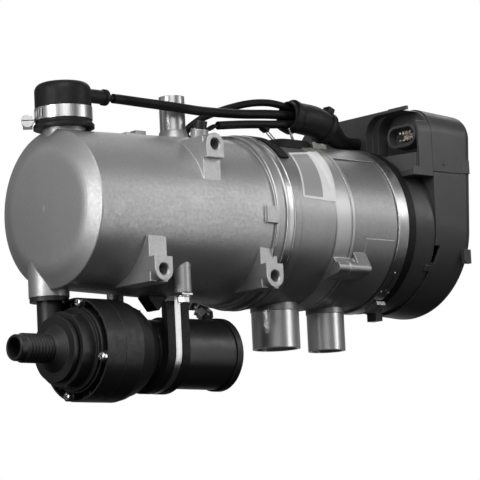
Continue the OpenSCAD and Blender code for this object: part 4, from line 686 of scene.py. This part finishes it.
def gather_leads():
    """The sleeve round the leads, open in front and drawn in towards the case."""
    route = [(SLEEVE_FROM + t * (SLEEVE_TO - SLEEVE_FROM), y, z, r) for t, y, z, r in SLEEVE]
    sleeve = open_mouth(sweep("harness_sleeve_tube", route, steps=14, rings=14), route[0][:3], 1.3, 12)
    dress(sleeve, "gathered_sleeve", "black_rubber", "harness_sleeve")


gather_leads()


def strap_loop(middle, lean, radius, width, thick):
    """A flat band bent to a ring, its axis along the heater but for a lean in degrees."""
    start_clean()
    bpy.ops.mesh.primitive_cylinder_add(vertices=72, radius=radius * MM, depth=width * MM, end_fill_type="NOTHING",
                                        location=place(*middle), rotation=(0, math.radians(90 + lean), 0))
    loop = bpy.context.object
    add_modifier(loop, "SOLIDIFY", thickness=thick * MM, offset=1)
    soft_edges(loop, 0.25)
    for modifier in list(loop.modifiers):
        bpy.ops.object.modifier_apply(modifier=modifier.name)
    return loop


def buckle_block(middle, size, turn):
    """A tie's head, sunk in the middle where the strap goes through."""
    start_clean()
    bpy.ops.mesh.primitive_cube_add(size=1, location=place(*middle), rotation=(0, math.radians(turn), 0),
                                    scale=[side * MM for side in size])
    head = bpy.context.object
    bpy.ops.object.transform_apply(location=False, rotation=False, scale=True)
    bpy.ops.object.mode_set(mode="EDIT")
    bpy.ops.mesh.select_mode(type="FACE")
    bpy.ops.mesh.select_all(action="DESELECT")
    mesh = bmesh.from_edit_mesh(head.data)
    for face in mesh.faces:
        face.select = abs(face.normal.x) > 0.9
    bmesh.update_edit_mesh(head.data)
    bpy.ops.mesh.inset(thickness=1.2 * MM, depth=0)
    bpy.ops.mesh.inset(thickness=0.1 * MM, depth=-0.9 * MM)
    bpy.ops.object.mode_set(mode="OBJECT")
    soft_edges(head, 0.5, 3)
    bpy.ops.object.modifier_apply(modifier=head.modifiers[0].name)
    return without_slivers(head)


def tie_leads():
    """A wide slanting band at the sleeve's mouth, and a cable tie with its head further back."""
    band = strap_loop((48.6, -19.1, 83), 20, 12.25, 7.0, 1.1)
    tie = strap_loop((84.5, -17.9, 77.4), 22, 12.0, 4.6, 1.2)
    head = buckle_block((89.6, -17.9, 91.2), (6.4, 7.4, 5.4), 22)
    dress(merged(band, tie, head), "bundle_ties", "black_rubber", "cable_ties")


tie_leads()


# Bare plate, bright trim and small hardware

# Where each end of the plate starts at its foot and how far it runs to its top, first in x and then in height
PLATE_LEFT = ((15.9, 8.5), (12, 38))
PLATE_RIGHT = ((48.5, 9), (10.5, 43.5))
PLATE_CLEAR, PLATE_THICK = 0.08, 0.25
FILM_TONES, FILM_ROUGH = (0.74, 0.84), (0.28, 0.4)
FIELD_TONE = 0.34
FIELD_LIMITS = (("X", 0.05, 0.62), ("Y", 0.05, 0.95))


def add_type_plate():
    """A blank film plate wrapped over the burner housing and the start of its rib band."""
    start_clean()
    bpy.ops.mesh.primitive_grid_add(x_subdivisions=30, y_subdivisions=30, size=1)
    plate = bpy.context.object
    for vertex in plate.data.vertices:
        u, v = vertex.co.x + 0.5, vertex.co.y + 0.5
        x, high = ((1 - u) * (left + left_run * v) + u * (right + right_run * v)
                   for (left, left_run), (right, right_run) in zip(PLATE_LEFT, PLATE_RIGHT))
        r = housing_radius(x, PLATE_CLEAR)
        vertex.co = place(x, -math.sqrt(r * r - high * high), high)
    add_modifier(plate, "SOLIDIFY", thickness=PLATE_THICK * MM, offset=1)
    dress(plate, "type_plate", "fan_plastic")
    plate.data.materials[0] = film_finish()


def film_finish():
    """White film with a blank grey field for its printing, laid out on the plate's own UV map."""
    material = bpy.data.materials.new("blank_plate_film")
    material.use_nodes = True
    tree = material.node_tree
    tree.nodes.clear()
    link = tree.links.new
    body = shade(tree, "ShaderNodeBsdfPrincipled")
    laid = shade(tree, "ShaderNodeUVMap")
    split = shade(tree, "ShaderNodeSeparateXYZ")
    where = shade(tree, "ShaderNodeTexCoord")
    pattern = place_skin(tree, MOULDED, *FILM_TONES, FILM_ROUGH)
    link(where.outputs["Object"], pattern.inputs["Place"])
    link(laid.outputs[0], split.inputs[0])
    inside = None
    for axis, low, high in FIELD_LIMITS:
        for operation, edge in (("GREATER_THAN", low), ("LESS_THAN", high)):
            test = shade(tree, "ShaderNodeMath", operation=operation)
            test.inputs[1].default_value = edge
            link(split.outputs[axis], test.inputs[0])
            inside = test.outputs[0] if inside is None else product(tree, inside, test.outputs[0])
    field_tone = shade(tree, "ShaderNodeMix", data_type="RGBA")
    field_tone.inputs["B"].default_value = grey(FIELD_TONE)
    link(inside, field_tone.inputs["Factor"])
    link(pattern.outputs["Colour"], field_tone.inputs["A"])
    link(live_output(field_tone, "RGBA"), body.inputs["Base Color"])
    link(pattern.outputs["Roughness"], body.inputs["Roughness"])
    link(body.outputs[0], shade(tree, "ShaderNodeOutputMaterial").inputs["Surface"])
    return material


add_type_plate()


def bead_ring(x, r, half, rise, start, sweep_angle, steps=120, sides=12):
    """A round bead about the heater's axis at x, half wide to each side, from a starting angle."""
    start_clean()
    bpy.ops.mesh.primitive_circle_add(vertices=sides, radius=1, location=(0, 0, 0))
    bead = bpy.context.object
    for k, vertex in enumerate(bead.data.vertices):
        turn = math.tau * k / sides
        across, out = half * math.cos(turn), rise * math.sin(turn)
        middle = Vector((0, (r + out) * math.cos(start), (r + out) * math.sin(start)))
        vertex.co = place(x + across, middle.y, middle.z)
    bpy.ops.object.mode_set(mode="EDIT")
    bpy.ops.mesh.select_all(action="SELECT")
    bpy.ops.mesh.spin(steps=steps, angle=sweep_angle, center=place(x, 0, 0), axis=(1, 0, 0))
    bpy.ops.mesh.select_all(action="DESELECT")
    bpy.ops.mesh.select_mode(type="EDGE")
    bpy.ops.mesh.select_non_manifold()
    bpy.ops.mesh.fill()
    bpy.ops.mesh.select_all(action="SELECT")
    bpy.ops.mesh.normals_make_consistent(inside=False)
    bpy.ops.object.mode_set(mode="OBJECT")
    in_fixed_order(bead)
    return bead


JOINT_CLAMP_R, JOINT_CLAMP_HALF = 66.2, 3.2
JOINT_BOLT_ANGLE, BEAD_GAP = math.radians(-53), math.radians(7)
FLANGE_R, FLANGE_FRONT = 64.9, -12.1


def roll_joint_beads():
    """Two rolled beads along the edges of the joint clamp, open where its bolt draws it together."""
    beads = [bead_ring(x, JOINT_CLAMP_R, 1.1, 0.75, JOINT_BOLT_ANGLE + BEAD_GAP, math.tau - 2 * BEAD_GAP)
             for x in (-JOINT_CLAMP_HALF, JOINT_CLAMP_HALF)]
    dress(merged(*beads), "joint_clamp_beads", "clamp_steel", smooth=60)


roll_joint_beads()


def trim_flange_edge():
    """The bright turned lip along the front edge of the jacket's flange."""
    lip = bead_ring(FLANGE_FRONT, FLANGE_R, 1.0, 0.7, math.radians(-89.9), math.radians(359.8))
    dress(lip, "flange_lip", "clamp_steel", smooth=60)


trim_flange_edge()


def add_clamp_welds():
    """The spot welds beside the fan clamp's buckle, flattened drops on the band's outer face."""
    band_r, weld_r = 64.95, 1.15
    dots = []
    for x, y, z in ((119.1, -51.8, -39.3), (115.8, -38.7, -52.2), (123.9, -38.2, -52.6)):
        start_clean()
        out = Vector((0, y, z)).normalized()
        bpy.ops.mesh.primitive_uv_sphere_add(segments=20, ring_count=10, radius=weld_r * MM, scale=(1, 1, 0.45),
                                             location=place(x, *(out * band_r).yz),
                                             rotation=out.to_track_quat("Z", "Y").to_euler())
        dots.append(bpy.context.object)
    dress(merged(*dots), "fan_clamp_welds", "fastener_steel", smooth=60)


add_clamp_welds()


# A domed head's height and spread, and its recess's thickness, height and length, as shares of the screw's radius
DOME, DOME_SPREAD = 0.42, 1.02
RECESS = (0.5, 0.26, 1.25)
# How far a head is sunk in its screw, in mm, and the first recess's turn and the step to the next, in degrees
HEAD_SUNK = 0.1
RECESS_TURN, RECESS_STEP = 25, 37
# How near a point counts as lying on the cut. The usual value is 0.1 mm here, and cuts the heads anew each run
CUT_TOLERANCE = 0.001


def screw_faces(node):
    """The middle of each screw's flat front face, and the first one's radius."""
    points = [vertex.co for vertex in nodes[node].data.vertices]
    front = min(point.x for point in points)
    level, widest = 0.05 * MM, 9 * MM
    faces = []
    for point in (p for p in points if p.x < front + level):
        near = next((face for face in faces if (face[0] - point).length < widest), None)
        if near is None:
            faces.append([point])
        else:
            near.append(point)
    middles = [sum(face, Vector()) / len(face) for face in faces]
    return middles, max((point - middles[0]).length for point in faces[0])


def dome_screw_heads():
    """Domed heads, each with a cross recess, on the faces of the pump cover's screws."""
    middles, radius = screw_faces("pump_cover_screws")
    heads = []
    for k, middle in enumerate(middles):
        start_clean()
        bpy.ops.mesh.primitive_uv_sphere_add(segments=32, ring_count=20, radius=radius, location=middle,
                                             scale=(DOME, DOME_SPREAD, DOME_SPREAD))
        head = bpy.context.object
        bpy.ops.object.transform_apply(location=True, rotation=True, scale=True)
        bpy.ops.object.mode_set(mode="EDIT")
        bpy.ops.mesh.select_all(action="SELECT")
        bpy.ops.mesh.bisect(plane_co=middle + Vector((HEAD_SUNK * MM, 0, 0)), plane_no=(1, 0, 0), use_fill=True,
                            clear_outer=True, threshold=CUT_TOLERANCE * MM)
        bpy.ops.object.mode_set(mode="OBJECT")
        relisted(head)
        for quarter in (0, 90):
            start_clean()
            turn = math.radians(RECESS_TURN + RECESS_STEP * k + quarter)
            bpy.ops.mesh.primitive_cube_add(size=1, location=middle - Vector((DOME * radius, 0, 0)),
                                            rotation=(turn, 0, 0),
                                            scale=[share * radius for share in RECESS])
            bar = bpy.context.object
            pick(head)
            cut = add_modifier(head, "BOOLEAN", operation="DIFFERENCE", object=bar, solver="EXACT")
            bpy.ops.object.modifier_apply(modifier=cut.name)
            bpy.data.objects.remove(bar)
        heads.append(without_slivers(head))
    dress(merged(*heads), "pump_screw_heads", "fastener_steel", smooth=40)


dome_screw_heads()


# Where the foil starts and its size along x and y, its height, and the size of its folds, in mm
FOIL_START, FOIL_SIZE = (60.5, -29.3), (14.5, 9.3)
FOIL_TOP, FOIL_FALL = 63.4, 1.6
FOLD_SIZE = 3.1


def fold_foil():
    """The crumpled foil that holds the sleeve down on the rib band."""
    start_clean()
    bpy.ops.mesh.primitive_cube_add(size=1)
    foil = bpy.context.object
    bpy.ops.object.mode_set(mode="EDIT")
    bpy.ops.mesh.subdivide(number_cuts=9)
    bpy.ops.object.mode_set(mode="OBJECT")
    for vertex in foil.data.vertices:
        u, v, w = vertex.co.x + 0.5, vertex.co.y + 0.5, vertex.co.z + 0.5
        x, y = FOIL_START[0] + FOIL_SIZE[0] * u, FOIL_START[1] + FOIL_SIZE[1] * v
        low = math.sqrt((HOUSING_R + RIB_RISE) ** 2 - y * y) + 0.1
        spot = Vector((x, y, 7 * w)) / FOLD_SIZE
        crease = Vector([field.noise(spot + Vector(shift)) for shift in ((0, 0, 0), (9, 0, 0), (0, 9, 0))])
        top = FOIL_TOP - FOIL_FALL * u
        vertex.co = place(x + 1.0 * w * crease.x, y + 1.2 * w * crease.y, low + (top - low + 1.6 * crease.z) * w)
    add_modifier(foil, "SUBSURF", levels=1, render_levels=1)
    dress(foil, "crumpled_foil", "heat_steel", "harness_bracket", smooth=25)


fold_foil()


# The tray's middle, its half length and half width, and the height of its top, in mm
TRAY_MIDDLE, TRAY_HALF = (40.5, -19.25), (19.4, 10.2)
TRAY_TOP = 63.7


def form_tray():
    """The black tray on top of the burner housing, with the clip block at its end."""
    start_clean()
    bpy.ops.mesh.primitive_cube_add(size=1)
    tray = bpy.context.object
    bpy.ops.object.mode_set(mode="EDIT")
    bpy.ops.mesh.subdivide(number_cuts=11)
    bpy.ops.object.mode_set(mode="OBJECT")
    for vertex in tray.data.vertices:
        u, v, w = 2 * vertex.co.x, 2 * vertex.co.y, vertex.co.z + 0.5
        x = TRAY_MIDDLE[0] + TRAY_HALF[0] * u
        y = TRAY_MIDDLE[1] + TRAY_HALF[1] * v * (1 - 0.3 * abs(u) ** 5)
        r = housing_radius(x, 0.1)
        low = math.sqrt(r * r - y * y)
        top = TRAY_TOP - 1.2 * abs(u) ** 4 - 0.4 * abs(v) ** 4
        vertex.co = place(x, y, low + (top - low) * w)
    add_modifier(tray, "SUBSURF", levels=1, render_levels=1)
    bpy.ops.object.modifier_apply(modifier=tray.modifiers[0].name)
    block = buckle_block((19.6, -19.3, 71.4), (5.6, 6.4, 3.6), 30)
    dress(merged(tray, block), "cable_tray", "cable_plastic", "cable_channel", smooth=50)


form_tray()


def bend_tray_wires():
    """Thin spring wires that reach from the leads down to the tray."""
    legs = [[(20.6, -21.2, 70.4), (24, -21.6, 67), (28.6, -22, 62.8)],
            [(21.8, -17.6, 70.2), (26, -17.4, 66.6), (31, -17, 63.2)],
            [(39.4, -25.4, 72.6), (41, -25.2, 68), (43.5, -24.6, 62)],
            [(44.6, -21.4, 72), (47, -20.8, 67.4), (49.5, -20, 63.2)]]
    wires = [sweep("tray_wire", with_radius(leg, 0.6), rings=3) for leg in legs]
    dress(merged(*wires), "tray_wires", "fastener_steel", smooth=60)


bend_tray_wires()

bpy.context.scene.view_settings.view_transform = "Standard"
